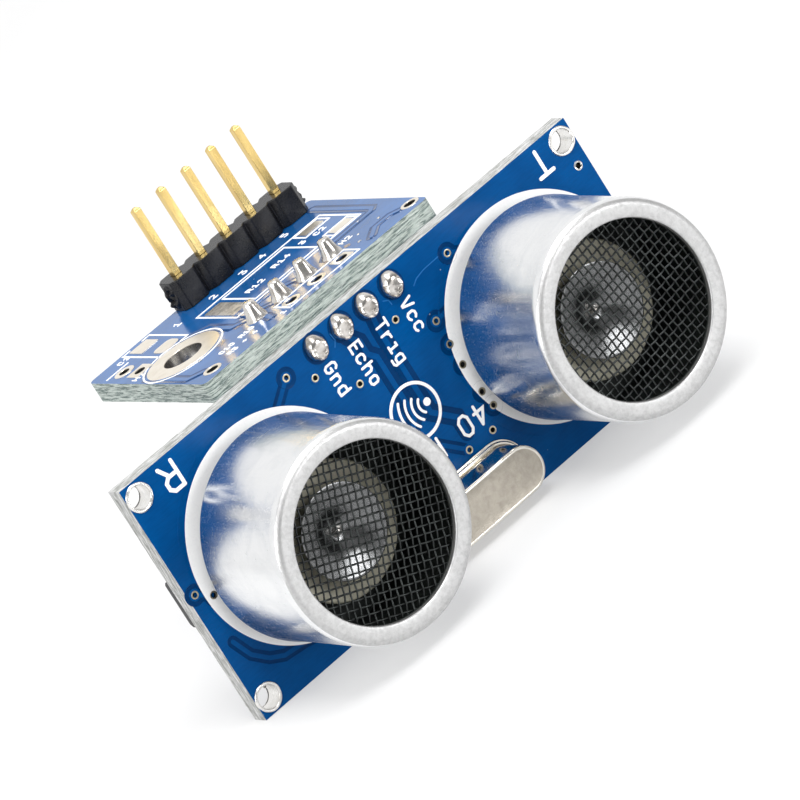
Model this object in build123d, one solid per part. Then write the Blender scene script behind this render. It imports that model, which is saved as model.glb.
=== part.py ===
from build123d import *
import os

# Ultrasonic distance sensor: a front board with two transducer cans and a crystal, and a
# small adapter board standing square behind it on a right-angle four-pin header.
# Millimetres. The origin is the centre of the four mounting holes on the front board's
# front face. +X runs from the receiver to the transmitter, -Y is the way the cans point,
# and +Z is the way the five connector pins point.

# Front board
board_width = 45.0
board_height = 20.0
board_thickness = 1.6
mount_spacing_x = 42.8
mount_spacing_z = 17.5
mount_hole_radius = 0.9
via_radius = 0.2
via_spots = [
    (-21.9, 0.6), (-20.7, -0.3), (-7.0, 8.5), (-5.1, 7.1), (-2.4, 4.6), (2.65, 6.55), (8.9, 7.85),
    (5.3, 4.5), (5.25, 2.5), (5.25, 0.7), (5.4, -1.8), (5.6, -3.15), (4.5, -4.55), (2.1, -4.55),
]
corner_via = (21.5, 6.5)
corner_via_radius = 0.25

# Transducers: each stands on its base's two pins, a little off the board
can_radius = 8.0
can_wall = 0.45
can_foot = 1.45
can_front = 11.7
can_spots = {"r": (-12.9, -0.4), "t": (13.3, -0.4)}
opening_radius = 6.5
flange_thickness = 0.6
rim_round = 0.5
screen_thickness = 0.2
base_foot = 0.9
base_thickness = 2.2
pin_spread = 5.0
pin_radius = 0.4
pin_hole_radius = 0.55
pin_tail = 1.2
pin_top = 3.9
disc_radius = 5.1
disc_bottom = 5.8
disc_thickness = 0.3
piezo_radius = 3.0
piezo_thickness = 0.4
ring_outer = 4.3
ring_inner = 3.4
ring_gap = 1.2
cone_radius = 3.5
cone_foot_radius = 0.6
cone_height = 1.3
cone_wall_height = 0.165
lead_radius = 0.12
lead_reach = 2.0
lead_bend = 0.3

# Crystal in its oval metal can
crystal_spot = (0.1, -7.3)
flange_length = 11.05
flange_width = 4.5
flange_height = 0.45
shell_length = 10.2
shell_width = 3.6
shell_top = 3.2
shell_wall = 0.2
shell_round = 0.25
crystal_pin_spread = 2.44
crystal_pin_radius = 0.215
crystal_hole_radius = 0.4
seal_radius = 0.5
blank_size = (8.0, 2.0, 0.12)
blank_level = 1.8
clip_width = 1.0
clip_thickness = 0.15

# Pin headers
pitch = 2.54
square = 0.64
header_width = 2.4
header_notch = 0.45
header_hole_radius = 0.5
pin_chamfer = 0.2

# Four-pin right-angle header between the two boards
link_count = 4
link_z = 8.65
link_tip = 0.6
link_y = 5.6
link_bend = 0.75
link_tail = 1.35

# Adapter board
adapter_x = (-11.8, 10.8)
adapter_y = (1.7, 18.8)
adapter_thickness = 1.6
adapter_corner = 0.5
adapter_top = link_z + header_width / 2 + adapter_thickness
adapter_bore_spot = (-8.4, 9.75)
adapter_bore_radius = 1.6
option_holes = [(-1.75, 3.6), (0.8, 3.6), (3.35, 3.6)]
option_hole_radius = 0.5
tooling_holes = [(-10.0, 3.15), (10.0, 3.15)]
jumper_holes = [(-10.4, 15.5), (-10.25, 13.4)]
jumper_hole_radius = 0.45

# Five-pin connector on the adapter
plug_count = 5
plug_centre = (3.4, 18.0)
plug_exposed = 5.9
plug_tail = 1.1

# Solder: a fillet's waist as a share of its width and height,
# then foot radius, tip radius and height of each kind of joint
fillet_waist_width = 0.3
fillet_waist_height = 0.4
front_joint = (0.9, 0.62, 0.7)
front_joint_core = (0.55, 0.95)
tail_joint = (0.85, 0.46, 1.05)
plug_joint = (0.85, 0.46, 0.9)
transducer_joint = (1.1, pin_radius + 0.12, 0.95)
crystal_joint = (0.75, crystal_pin_radius + 0.12, 0.8)

# Chips: place on the board, body length and number of leads
soic_pitch = 1.27
soic_span = 6.0
soic_width = 3.9
soic_height = 1.5
soic_standoff = 0.15
soic_lead_width = 0.42
soic_lead_thickness = 0.2
soic_lead_level = 0.8
soic_lead_shoulder = 0.45
soic_lead_slant = 0.1
soic_lead_bend = 0.12
soic_bevel = 0.25
pin_one_dimple = (0.35, 0.1)
pin_one_inset = (0.8, 1.0)
back_chips = {
    "receiver_amplifier": (-17.7, -0.3, 8.65, 14),
    "controller": (0.2, -1.2, 8.65, 14),
    "transmit_driver": (17.2, -0.3, 9.9, 16),
}
adapter_chip = (0.2, 12.0, 8.65, 14)

# Passive parts, as places on the board and a quarter-turn flag
chip_length = 1.6
chip_width = 0.8
chip_height = 0.45
chip_end = 0.3
back_resistors = [
    (-8.2, 3.0, 0), (-8.2, 1.4, 0), (-8.2, -0.2, 0), (-8.2, -1.8, 0), (-8.2, -3.4, 0),
    (8.2, 2.6, 0), (8.2, 1.0, 0), (8.2, -0.6, 0), (8.2, -2.2, 0), (-17.0, 6.6, 1),
    (-19.0, 6.6, 1), (17.6, 6.6, 1),
]
back_capacitors = [
    (-8.2, 6.4, 0), (-8.2, 4.9, 0), (8.2, 6.2, 0), (-17.4, -6.6, 1), (-19.4, -6.6, 1),
    (17.8, -6.8, 1), (5.2, -7.2, 1), (-6.2, -7.2, 1),
]
transistor_spot = (8.4, -5.4)
transistor_size = (2.9, 1.3, 1.0)
transistor_standoff = 0.1
transistor_leads = [(-0.95, -1), (0.95, -1), (0, 1)]
transistor_lead_width = 0.4
transistor_shin = (0.8, 0.3, 0.6)
transistor_toe = (1.05, 0.5, 0.14)
adapter_resistors = [(-7.8, 5.4, 1), (-9.6, 5.4, 1), (7.6, 10.4, 1)]
adapter_capacitors = [(7.6, 13.4, 1), (-6.4, 13.0, 1)]


def on_front(shape, x, z):
    """Stand a shape built along +Z on the front face, pointing forwards."""
    return Location((x, 0, z), (90, 0, 0)) * shape


def on_back(shape, x, z):
    """Stand a shape built along +Z on the back face, pointing backwards."""
    return Location((x, board_thickness, z), (-90, 0, 0)) * shape


def under_adapter(shape, x, y):
    """Hang a shape built along +Z from the adapter's underside."""
    return Location((x, y, adapter_top - adapter_thickness), (180, 0, 0)) * shape


def drum(radius, bottom, top):
    """A disc or rod on the local axis between two heights."""
    return Pos(0, 0, bottom) * extrude(Circle(radius), top - bottom)


def ring(outer, inner, bottom, top):
    """A flat ring on the local axis between two heights."""
    return Pos(0, 0, bottom) * extrude(Circle(outer) - Circle(inner), top - bottom)


def turned(points):
    """A solid of revolution about the local Z axis from radius and height pairs."""
    return revolve(Plane.XZ * make_face(Polyline(*points, close=True)), Axis.Z)


def row(count):
    """Centred places along one header row."""
    return [(i - (count - 1) / 2) * pitch for i in range(count)]


def header_block(count, height):
    """Header plastic along X, with a V notch between neighbouring positions."""
    half = header_width / 2
    upper = []
    for x in row(count):
        upper += [
            (x - pitch / 2, half - header_notch), (x - pitch / 2 + header_notch, half),
            (x + pitch / 2 - header_notch, half), (x + pitch / 2, half - header_notch),
        ]
    lower = [(-x, -y) for x, y in upper]
    outline = [upper[0]]
    for point in upper + lower:
        if point != outline[-1]:
            outline.append(point)
    block = extrude(make_face(Polyline(*outline, close=True)), height)
    for x in row(count):
        block -= Pos(x, 0, height / 2) * Box(square, square, 2 * height)
    return block


def solder_cone(foot_radius, tip_radius, height):
    """A solder fillet that rises from a pad to a pin."""
    waist = tip_radius + fillet_waist_width * (foot_radius - tip_radius)
    waist_height = fillet_waist_height * height
    return turned([(0, 0), (foot_radius, 0), (waist, waist_height), (tip_radius, height), (0, height)])


def sensor_board():
    board = Pos(0, board_thickness / 2, 0) * Box(board_width, board_thickness, board_height)
    drills = []
    for x in (-mount_spacing_x / 2, mount_spacing_x / 2):
        for z in (-mount_spacing_z / 2, mount_spacing_z / 2):
            drills.append((x, z, mount_hole_radius))
    for x in row(link_count):
        drills.append((x, link_z, header_hole_radius))
    for x, z in can_spots.values():
        for step in (-pin_spread, pin_spread):
            drills.append((x, z + step, pin_hole_radius))
    for step in (-crystal_pin_spread, crystal_pin_spread):
        drills.append((crystal_spot[0] + step, crystal_spot[1], crystal_hole_radius))
    for x, z in via_spots:
        drills.append((x, z, via_radius))
    drills.append((*corner_via, corner_via_radius))
    for x, z, radius in drills:
        board -= on_front(drum(radius, -2 * board_thickness, board_thickness), x, z)
    return board


def transducer(side):
    """One transducer's pieces, by node name."""
    x, z = can_spots[side]
    inner = can_radius - can_wall
    under_flange = can_front - flange_thickness
    base_top = base_foot + base_thickness
    disc_top = disc_bottom + disc_thickness
    can = turned([
        (inner, can_foot), (can_radius, can_foot), (can_radius, can_front),
        (opening_radius, can_front), (opening_radius, under_flange), (inner, under_flange),
    ])
    front_circles = can.edges().filter_by(GeomType.CIRCLE).group_by(Axis.Z)[-1]
    can = fillet(front_circles.sort_by(SortBy.RADIUS)[-1], rim_round)
    screen = drum(inner, under_flange - screen_thickness, under_flange)
    base = drum(inner, base_foot, base_top)
    for step in (-pin_spread, pin_spread):
        base -= Pos(0, step, 0) * drum(pin_radius, base_foot, base_top)
    pins = [Pos(0, step, 0) * drum(pin_radius, -board_thickness - pin_tail, pin_top)
            for step in (-pin_spread, pin_spread)]
    damper = ring(ring_outer, ring_inner, base_top, disc_bottom)
    damper -= Pos(0, -ring_outer, disc_bottom) * Box(ring_gap, 2 * ring_inner, 2 * disc_bottom)
    disc = drum(disc_radius, disc_bottom, disc_top)
    piezo = drum(piezo_radius, disc_bottom - piezo_thickness, disc_bottom)
    mouth = disc_top + cone_height
    throat = disc_top + cone_wall_height
    cone = turned([
        (0, disc_top), (cone_foot_radius, disc_top), (cone_radius, mouth - cone_wall_height),
        (cone_radius, mouth), (cone_foot_radius, throat), (0, throat),
    ])
    piezo_bottom = disc_bottom - piezo_thickness
    level = (pin_top + piezo_bottom) / 2
    route = FilletPolyline(
        (0, -pin_spread, pin_top), (0, -pin_spread, level), (0, -lead_reach, level),
        (0, -lead_reach, piezo_bottom), radius=lead_bend)
    leads = [
        sweep(Plane(origin=route @ 0, z_dir=route % 0) * Circle(lead_radius), route),
        Pos(0, pin_spread, 0) * drum(lead_radius, pin_top, disc_bottom),
    ]
    pieces = {
        "can": can, "screen": screen, "base": base, "pins": pins, "damper_ring": damper,
        "diaphragm": disc, "piezo_disc": piezo, "cone": cone, "leads": leads,
    }
    return {f"{side}_{name}": placed(piece, on_front, x, z) for name, piece in pieces.items()}


def placed(piece, put, *spot):
    """Put one shape, or each of a list of shapes, at a spot."""
    if isinstance(piece, list):
        return [put(item, *spot) for item in piece]
    return put(piece, *spot)


def crystal():
    """The crystal unit's pieces, by node name."""
    flange = extrude(SlotOverall(flange_length, flange_width), flange_height)
    rise = shell_top - flange_height
    shell = Pos(0, 0, flange_height) * extrude(SlotOverall(shell_length, shell_width), rise)
    shell = fillet(shell.faces().sort_by(Axis.Z)[-1].edges(), shell_round)
    cavity = SlotOverall(shell_length - 2 * shell_wall, shell_width - 2 * shell_wall)
    shell -= Pos(0, 0, flange_height) * extrude(cavity, rise - shell_wall)
    pins, seals, clips = [], [], []
    clip_foot = 2 * flange_height
    clip_top = clip_foot + clip_thickness
    arm = blank_level - clip_top
    for side in (-1, 1):
        x = side * crystal_pin_spread
        pins.append(Pos(x, 0, 0) * drum(crystal_pin_radius, -board_thickness - pin_tail, clip_foot))
        seals.append(Pos(x, 0, 0) * ring(seal_radius, crystal_pin_radius, 0, flange_height))
        flange -= Pos(x, 0, 0) * drum(seal_radius, 0, flange_height)
        end = side * (blank_size[0] / 2 - clip_thickness)
        length = abs(end - x) + 2 * clip_thickness
        clip = Pos((x + end) / 2, 0, clip_foot + clip_thickness / 2) * Box(length, clip_width, clip_thickness)
        clip += Pos(end, 0, clip_top + arm / 2) * Box(clip_thickness, clip_width, arm)
        clips.append(clip)
    blank = Pos(0, 0, blank_level + blank_size[2] / 2) * Box(*blank_size)
    pieces = {
        "crystal_flange": flange, "crystal_shell": shell, "crystal_pins": pins,
        "crystal_seals": seals, "crystal_clips": clips, "crystal_blank": blank,
    }
    return {name: placed(piece, on_front, *crystal_spot) for name, piece in pieces.items()}


def link_header():
    """The right-angle header that joins the boards, with its solder."""
    block = Location((0, board_thickness, link_z), (-90, 0, 0)) * header_block(link_count, header_width)
    pins, front, tails = [], [], []
    for x in row(link_count):
        path = FilletPolyline(
            (x, -link_tip, link_z), (x, link_y, link_z), (x, link_y, adapter_top + link_tail),
            radius=link_bend)
        start = Plane(origin=path @ 0, x_dir=(1, 0, 0), z_dir=path % 0)
        pin = sweep(start * Rectangle(square, square), path)
        pins.append(pin)
        core_radius, core_height = front_joint_core
        blob = drum(core_radius, 0, core_height) + solder_cone(*front_joint)
        front.append(on_front(blob, x, link_z) - pin)
        tails.append(Pos(x, link_y, adapter_top) * solder_cone(*tail_joint) - pin)
    return {
        "link_header_body": block, "link_header_pins": pins,
        "link_front_solder": front, "link_tail_solder": tails,
    }


def adapter_board():
    width = adapter_x[1] - adapter_x[0]
    depth = adapter_y[1] - adapter_y[0]
    middle = adapter_top - adapter_thickness / 2
    board = Pos(sum(adapter_x) / 2, sum(adapter_y) / 2, middle) * Box(width, depth, adapter_thickness)
    board = fillet(board.edges().filter_by(Axis.Z), adapter_corner)
    drills = [(*adapter_bore_spot, adapter_bore_radius)]
    drills += [(x, link_y, header_hole_radius) for x in row(link_count)]
    drills += [(plug_centre[0] + x, plug_centre[1], header_hole_radius) for x in row(plug_count)]
    drills += [(x, y, option_hole_radius) for x, y in option_holes + tooling_holes]
    drills += [(x, y, jumper_hole_radius) for x, y in jumper_holes]
    for x, y, radius in drills:
        board -= Pos(x, y, middle) * drum(radius, -adapter_thickness, adapter_thickness)
    return board


def plug_header():
    """The five-pin connector and its solder under the adapter."""
    x0, y0 = plug_centre
    block = Pos(x0, y0, adapter_top) * header_block(plug_count, header_width)
    tip = adapter_top + header_width + plug_exposed
    foot = adapter_top - adapter_thickness - plug_tail
    pins, solder = [], []
    for x in row(plug_count):
        pin = Pos(x0 + x, y0, (tip + foot) / 2) * Box(square, square, tip - foot)
        ends = pin.faces().sort_by(Axis.Z)
        pin = chamfer(ends[0].edges() + ends[-1].edges(), pin_chamfer)
        pins.append(pin)
        solder.append(under_adapter(solder_cone(*plug_joint), x0 + x, y0) - pin)
    return {"plug_header_body": block, "plug_header_pins": pins, "plug_header_solder": solder}


def soic(length, count):
    """A small-outline chip on the local XY plane: its body and its gull-wing leads."""
    top = soic_standoff + soic_height
    half = soic_width / 2
    body = Pos(0, 0, soic_standoff) * extrude(Rectangle(length, soic_width), soic_height)
    body = chamfer(body.edges().filter_by(Axis.X).group_by(Axis.Z)[-1], soic_bevel)
    dimple_radius, dimple_depth = pin_one_dimple
    inset_x, inset_y = pin_one_inset
    body -= Pos(inset_x - length / 2, inset_y - half, top) * Cylinder(dimple_radius, 2 * dimple_depth)
    foot = soic_lead_thickness / 2
    knee = half + soic_lead_shoulder
    route = FilletPolyline(
        (half, soic_lead_level), (knee, soic_lead_level), (knee + soic_lead_slant, foot),
        (soic_span / 2, foot), radius=soic_lead_bend)
    outline = Plane.YZ * trace(route, soic_lead_thickness)
    lead = Pos(-soic_lead_width / 2, 0, 0) * extrude(outline, soic_lead_width)
    lead -= Pos(0, 0, soic_standoff + soic_height / 2) * Box(length, soic_width, 3 * soic_height)
    leads = []
    for i in range(count // 2):
        x = (i - (count // 2 - 1) / 2) * soic_pitch
        leads.append(Pos(x, 0, 0) * lead)
        leads.append(Location((x, 0, 0), (0, 0, 180)) * lead)
    return body, leads


def transistor():
    """A three-lead transistor body and its leads."""
    length, width, height = transistor_size
    body = Pos(0, 0, transistor_standoff + height / 2) * Box(length, width, height)
    shin_y, shin_depth, shin_height = transistor_shin
    toe_y, toe_depth, toe_height = transistor_toe
    leads = []
    for x, side in transistor_leads:
        shin = Pos(x, side * shin_y, shin_height / 2) * Box(transistor_lead_width, shin_depth, shin_height)
        toe = Pos(x, side * toe_y, toe_height / 2) * Box(transistor_lead_width, toe_depth, toe_height)
        leads.append(shin + toe)
    return body, leads


def chips(spots, put):
    """Bodies and end caps of the small two-ended parts at the given places."""
    bodies, ends = [], []
    for x, y, turn in spots:
        spin = Rot(0, 0, 90 * turn)
        core = Pos(0, 0, chip_height / 2) * Box(chip_length - 2 * chip_end, chip_width, chip_height)
        bodies.append(put(spin * core, x, y))
        for side in (-1, 1):
            middle = side * (chip_length - chip_end) / 2
            cap = Pos(middle, 0, chip_height / 2) * Box(chip_end, chip_width, chip_height)
            ends.append(put(spin * cap, x, y))
    return bodies, ends


def back_parts():
    """Everything soldered to the front board's back face."""
    nodes = {}
    for name, (x, z, length, count) in back_chips.items():
        body, leads = soic(length, count)
        nodes[name] = on_back(body, x, z)
        nodes[f"{name}_leads"] = placed(leads, on_back, x, z)
    body, leads = transistor()
    nodes["transistor"] = on_back(body, *transistor_spot)
    nodes["transistor_leads"] = placed(leads, on_back, *transistor_spot)
    nodes["back_resistors"], nodes["back_resistor_ends"] = chips(back_resistors, on_back)
    nodes["back_capacitors"], nodes["back_capacitor_ends"] = chips(back_capacitors, on_back)
    joint = solder_cone(*transducer_joint) - drum(pin_radius, 0, pin_tail)
    nodes["transducer_solder"] = [
        on_back(joint, x, z + step)
        for x, z in can_spots.values() for step in (-pin_spread, pin_spread)
    ]
    joint = solder_cone(*crystal_joint) - drum(crystal_pin_radius, 0, pin_tail)
    x, z = crystal_spot
    nodes["crystal_solder"] = [
        on_back(joint, x + step, z) for step in (-crystal_pin_spread, crystal_pin_spread)
    ]
    return nodes


def adapter_parts():
    """The converter chip and passives under the adapter."""
    x, y, length, count = adapter_chip
    body, leads = soic(length, count)
    nodes = {
        "converter": under_adapter(body, x, y),
        "converter_leads": placed(leads, under_adapter, x, y),
    }
    nodes["adapter_resistors"], nodes["adapter_resistor_ends"] = chips(adapter_resistors, under_adapter)
    nodes["adapter_capacitors"], nodes["adapter_capacitor_ends"] = chips(adapter_capacitors, under_adapter)
    return nodes


def write(name, piece):
    """Write one node; a list is a group of separate solids."""
    if isinstance(piece, list):
        piece = Compound(children=[item.solid() for item in piece])
    piece.label = name
    export_step(piece, f"parts/{name}.step")


os.makedirs("parts", exist_ok=True)
nodes = {"sensor_board": sensor_board(), "adapter_board": adapter_board()}
for side in can_spots:
    nodes.update(transducer(side))
nodes.update(crystal())
nodes.update(link_header())
nodes.update(plug_header())
nodes.update(back_parts())
nodes.update(adapter_parts())
for name, piece in nodes.items():
    write(name, piece)
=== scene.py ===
import random
from math import atan2, copysign, cos, dist, exp, hypot, log, pi, radians, sin, sqrt, tau

import bmesh
import bpy
from mathutils import Matrix, Vector, noise


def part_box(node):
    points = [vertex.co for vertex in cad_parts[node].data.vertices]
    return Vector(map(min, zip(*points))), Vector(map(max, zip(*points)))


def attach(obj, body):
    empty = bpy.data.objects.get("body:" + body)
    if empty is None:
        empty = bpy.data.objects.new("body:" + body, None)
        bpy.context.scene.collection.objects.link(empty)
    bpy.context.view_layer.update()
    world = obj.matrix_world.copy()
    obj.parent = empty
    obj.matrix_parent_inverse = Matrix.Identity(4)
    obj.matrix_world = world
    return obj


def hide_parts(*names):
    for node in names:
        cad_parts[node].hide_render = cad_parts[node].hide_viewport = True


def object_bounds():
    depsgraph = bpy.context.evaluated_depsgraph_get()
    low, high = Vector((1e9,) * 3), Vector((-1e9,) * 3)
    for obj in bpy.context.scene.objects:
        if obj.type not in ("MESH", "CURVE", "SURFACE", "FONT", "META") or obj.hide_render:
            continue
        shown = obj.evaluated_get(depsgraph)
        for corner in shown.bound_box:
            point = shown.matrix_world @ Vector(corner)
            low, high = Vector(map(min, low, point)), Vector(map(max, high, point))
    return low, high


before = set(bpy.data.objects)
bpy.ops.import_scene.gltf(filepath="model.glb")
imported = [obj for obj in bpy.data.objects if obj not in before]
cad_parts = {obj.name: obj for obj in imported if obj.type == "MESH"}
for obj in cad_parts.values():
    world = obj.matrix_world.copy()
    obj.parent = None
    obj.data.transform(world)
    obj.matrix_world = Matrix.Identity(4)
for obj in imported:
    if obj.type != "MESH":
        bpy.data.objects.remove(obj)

cad_low, cad_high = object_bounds()
random.seed(19)

# Every length in this file is in millimetres; a piece is scaled to metres when it is made.
MM = 0.001

# Points closer than this are one, and a board's upright corners are rounded by up to this
WELD = 1e-4
CORNER_ROUND = 0.5

# The share of a unit normal that lies along an axis, at least for a face and at most for a wall
FACING = 0.9
SIDEWAYS = 0.2

# The camera is in front of the part, to its left and a little above it, and rolled
CAMERA_AZIMUTH = -25.21
CAMERA_ELEVATION = 17.76
CAMERA_ROLL = -32.31
CAMERA_DISTANCE = 605.9
CAMERA_AIM = (-0.13, 0.6, 1.51)
CAMERA_LENS = 383.7

# Levels above a board face; sides end at the sunk one, inside the board
SUNK = -0.02
GROOVE_LEVEL = 0.006
TRACE_LEVEL = 0.022
INK_LEVEL = 0.034
PAD_LEVEL = 0.04

# A raised edge's soft shoulder, as shares of its level
SHOULDER_RISE = 0.6
SHOULDER_WIDTH = 0.35

# The two axes that lie in each pair of board faces
ACROSS_FRONT = (0, 2)
ACROSS_TOP = (0, 1)

BEVEL_ANGLE = 35
CAP_STEPS = 8


# ---- reading the frame

def box_mm(node):
    """Lowest and highest corner of a CAD node, in millimetres."""
    low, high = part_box(node)
    return low / MM, high / MM


def centre(box, axes=ACROSS_FRONT):
    """The middle of a box along two axes."""
    low, high = box
    return tuple((low[i] + high[i]) / 2 for i in axes)


def welded(node):
    """A CAD node's mesh as a bmesh in millimetres, with its split vertices joined."""
    bm = bmesh.new()
    bm.from_mesh(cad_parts[node].data)
    bmesh.ops.scale(bm, vec=(1 / MM,) * 3, verts=bm.verts)
    bmesh.ops.remove_doubles(bm, verts=bm.verts, dist=WELD)
    bm.normal_update()
    return bm


def clusters(faces):
    """Groups of faces that share edges."""
    left = set(faces)
    groups = []
    while left:
        group, todo = [], [left.pop()]
        while todo:
            face = todo.pop()
            group.append(face)
            for edge in face.edges:
                for other in edge.link_faces:
                    if other in left:
                        left.discard(other)
                        todo.append(other)
        groups.append(group)
    return groups


def extent(group):
    """Lowest and highest corner of a group of faces."""
    points = [v.co for face in group for v in face.verts]
    return tuple(Vector([pick(p[i] for p in points) for i in range(3)]) for pick in (min, max))


def islands(node):
    """The box of each separate solid in a CAD node, sorted along X."""
    bm = welded(node)
    found = [extent(group) for group in clusters(bm.faces)]
    bm.free()
    return sorted(found, key=lambda pair: (round(pair[0].x, 2), pair[0].y, pair[0].z))


def is_bore(face, axis, low, high):
    """True for a face on the wall of a drilled hole."""
    if abs(face.normal[axis]) > SIDEWAYS:
        return False
    middle = face.calc_center_median()
    insets = (min(middle[i] - low[i], high[i] - middle[i]) for i in range(3) if i != axis)
    nearer, farther = sorted(insets)
    return nearer > WELD and farther > CORNER_ROUND


def drilled(node, axis):
    """Centre and radius of every hole drilled through a board."""
    low, high = box_mm(node)
    bm = welded(node)
    i, j = (k for k in range(3) if k != axis)
    found = []
    for group in clusters([f for f in bm.faces if is_bore(f, axis, low, high)]):
        a, b = extent(group)
        middle = (a + b) / 2
        found.append((middle[i], middle[j], max(b[i] - a[i], b[j] - a[j]) / 2))
    bm.free()
    return sorted(found, key=lambda hole: (round(hole[0], 2), round(hole[1], 2)))


def holes_by_size(node, axis):
    """The drilled holes of a board, grouped by radius in hundredths of a millimetre."""
    groups = {}
    for u, v, radius in drilled(node, axis):
        groups.setdefault(round(radius * 100), []).append((u, v))
    return groups


FRONT_Y, BACK_Y = (corner.y for corner in box_mm("sensor_board"))
UNDER_Z, TOP_Z = (corner.z for corner in box_mm("adapter_board"))
FRONT_HOLES = holes_by_size("sensor_board", 1)
TOP_HOLES = holes_by_size("adapter_board", 2)


# ---- faces to draw on

def on_front(u, v, w):
    return Vector((u, FRONT_Y - w, v))


def on_back(u, v, w):
    return Vector((u, BACK_Y + w, v))


def on_top(u, v, w):
    return Vector((u, v, TOP_Z + w))


def on_under(u, v, w):
    return Vector((u, v, UNDER_Z - w))


def read_on_back(u, v, w):
    """The back face as seen from behind, where X runs to the left."""
    return on_back(-u, v, w)


def read_under(u, v, w):
    """The adapter's underside as seen from below."""
    return on_under(-u, v, w)


def moved(put, u0, v0, turned=0.0):
    """The same face with its origin moved to a spot and its axes turned."""
    c, s = cos(radians(turned)), sin(radians(turned))

    def place(u, v, w):
        return put(u0 + c * u - s * v, v0 + s * u + c * v, w)
    return place


def points_of(text):
    """Points written as "u,v u,v"."""
    return [tuple(float(number) for number in pair.split(",")) for pair in text.split()]


def lines_of(text):
    """Lines of points, parted by semicolons or line ends."""
    return [points_of(line) for line in text.strip().replace("\n", ";").split(";")]


# ---- making pieces

def linked(name, data):
    """A new object in the scene."""
    obj = bpy.data.objects.new(name, data)
    bpy.context.scene.collection.objects.link(obj)
    return obj


def metre_mesh(name, bm):
    """A mesh in metres from a bmesh in millimetres."""
    bmesh.ops.scale(bm, vec=(MM,) * 3, verts=bm.verts)
    mesh = bpy.data.meshes.new(name)
    bm.to_mesh(mesh)
    bm.free()
    return mesh


def piece(name, bm, materials, replaced=(), sharp=40.0, bevel=0.0):
    """Turn a bmesh in millimetres into a finished piece that rides on the part."""
    bmesh.ops.remove_doubles(bm, verts=bm.verts, dist=WELD)
    bmesh.ops.dissolve_degenerate(bm, edges=bm.edges, dist=WELD)
    bmesh.ops.recalc_face_normals(bm, faces=bm.faces)
    mesh = metre_mesh(name, bm)
    mesh.shade_smooth()
    mesh.set_sharp_from_angle(angle=radians(sharp))
    obj = linked(name, mesh)
    for material in materials:
        mesh.materials.append(material)
    if bevel:
        edge = obj.modifiers.new("soft_edges", "BEVEL")
        edge.width = bevel * MM
        edge.segments = 2
        edge.limit_method = "ANGLE"
        edge.angle_limit = radians(BEVEL_ANGLE)
        edge.harden_normals = True
    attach(obj, "root")
    if replaced:
        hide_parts(*replaced)


def detailed(node, name, materials, bevel, choose=None):
    """A CAD solid again, with its flat faces joined up and its edges softened."""
    bm = welded(node)
    bmesh.ops.dissolve_limit(bm, angle_limit=radians(1), verts=bm.verts, edges=bm.edges)
    if choose:
        for face in bm.faces:
            face.material_index = choose(face)
    piece(name, bm, materials, (node,), bevel=bevel)


def paint(material, *nodes):
    """Give CAD nodes that are kept as they are their material."""
    for name in nodes:
        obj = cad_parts[name]
        if not obj.material_slots:
            obj.data.materials.append(material)
        for slot in obj.material_slots:
            slot.material = material


def strip(bm, rings, material=0, closed=False):
    """Join successive rows of points with quads."""
    rows = [[bm.verts.new(p) for p in ring] for ring in rings]
    if closed:
        rows.append(rows[0])
    for a, b in zip(rows, rows[1:]):
        for i in range(len(a) - 1):
            bm.faces.new((a[i], a[i + 1], b[i + 1], b[i])).material_index = material
    return rows


def turn(bm, profile, put, steps=48, material=0, squash=1.0, wobble=None):
    """Revolve radius and height pairs about a spot; squash stretches the V axis."""
    rings = []
    for i in range(steps):
        a = tau * i / steps
        ring = []
        for radius, height in profile:
            r = radius * (wobble(a, height) if wobble else 1.0)
            ring.append(put(r * cos(a), r * sin(a) * squash, height))
        rings.append(ring)
    strip(bm, rings, material, closed=True)


def turn_all(bm, profile, spots, faces, steps=48):
    """The same turned shape at each spot of each face."""
    for u, v in spots:
        for put in faces:
            turn(bm, profile, moved(put, u, v), steps)


def arc(cu, cv, radius, start, stop, steps=12):
    """Points along a circular arc, angles in degrees."""
    angles = [radians(start + (stop - start) * i / steps) for i in range(steps + 1)]
    return [(cu + radius * cos(a), cv + radius * sin(a)) for a in angles]


def circle(u, v, radius, steps=48):
    return arc(u, v, radius, 0, 360, steps)[:-1]


def side_normals(points, closed):
    """The mitred sideways step at each point of a line."""
    count = len(points)
    steps = []
    for i in range(count):
        before = points[i - 1] if i > 0 or closed else None
        after = points[(i + 1) % count] if i < count - 1 or closed else None
        here = Vector(points[i])
        into = (here - Vector(before)).normalized() if before else None
        out = (Vector(after) - here).normalized() if after else None
        way = ((into or out) + (out or into)).normalized()
        side = Vector((way.y, -way.x))
        reference = out or into
        stretch = 1 / max(0.5, side.dot(Vector((reference.y, -reference.x))))
        steps.append(side * stretch)
    return steps


def relief(bm, points, section, put, closed=False):
    """Sweep a low half-section, mirrored about its middle, along a line, with round ends."""
    sides = side_normals(points, closed)
    right = [(Vector(p), n) for p, n in zip(points, sides)]
    left = [(Vector(p), -n) for p, n in zip(reversed(points), reversed(sides))]

    def rows(stations):
        return [[put(*(p + n * offset), height) for offset, height in section] for p, n in stations]

    def cap(point, normal):
        start = atan2(normal.y, normal.x)
        angles = [start + pi * i / CAP_STEPS for i in range(1, CAP_STEPS)]
        return [(Vector(point), Vector((cos(a), sin(a)))) for a in angles]

    if closed:
        strip(bm, rows(right), closed=True)
        strip(bm, rows(left), closed=True)
        return
    stations = right + cap(points[-1], sides[-1].normalized())
    stations += left + cap(points[0], -sides[0].normalized())
    strip(bm, rows(stations), closed=True)


def flat_section(width, level=INK_LEVEL):
    """Half-section of a thin raised line with a soft shoulder."""
    half = width / 2
    return [(0, level), (half - SHOULDER_WIDTH * level, level), (half, SHOULDER_RISE * level), (half, SUNK)]


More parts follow.
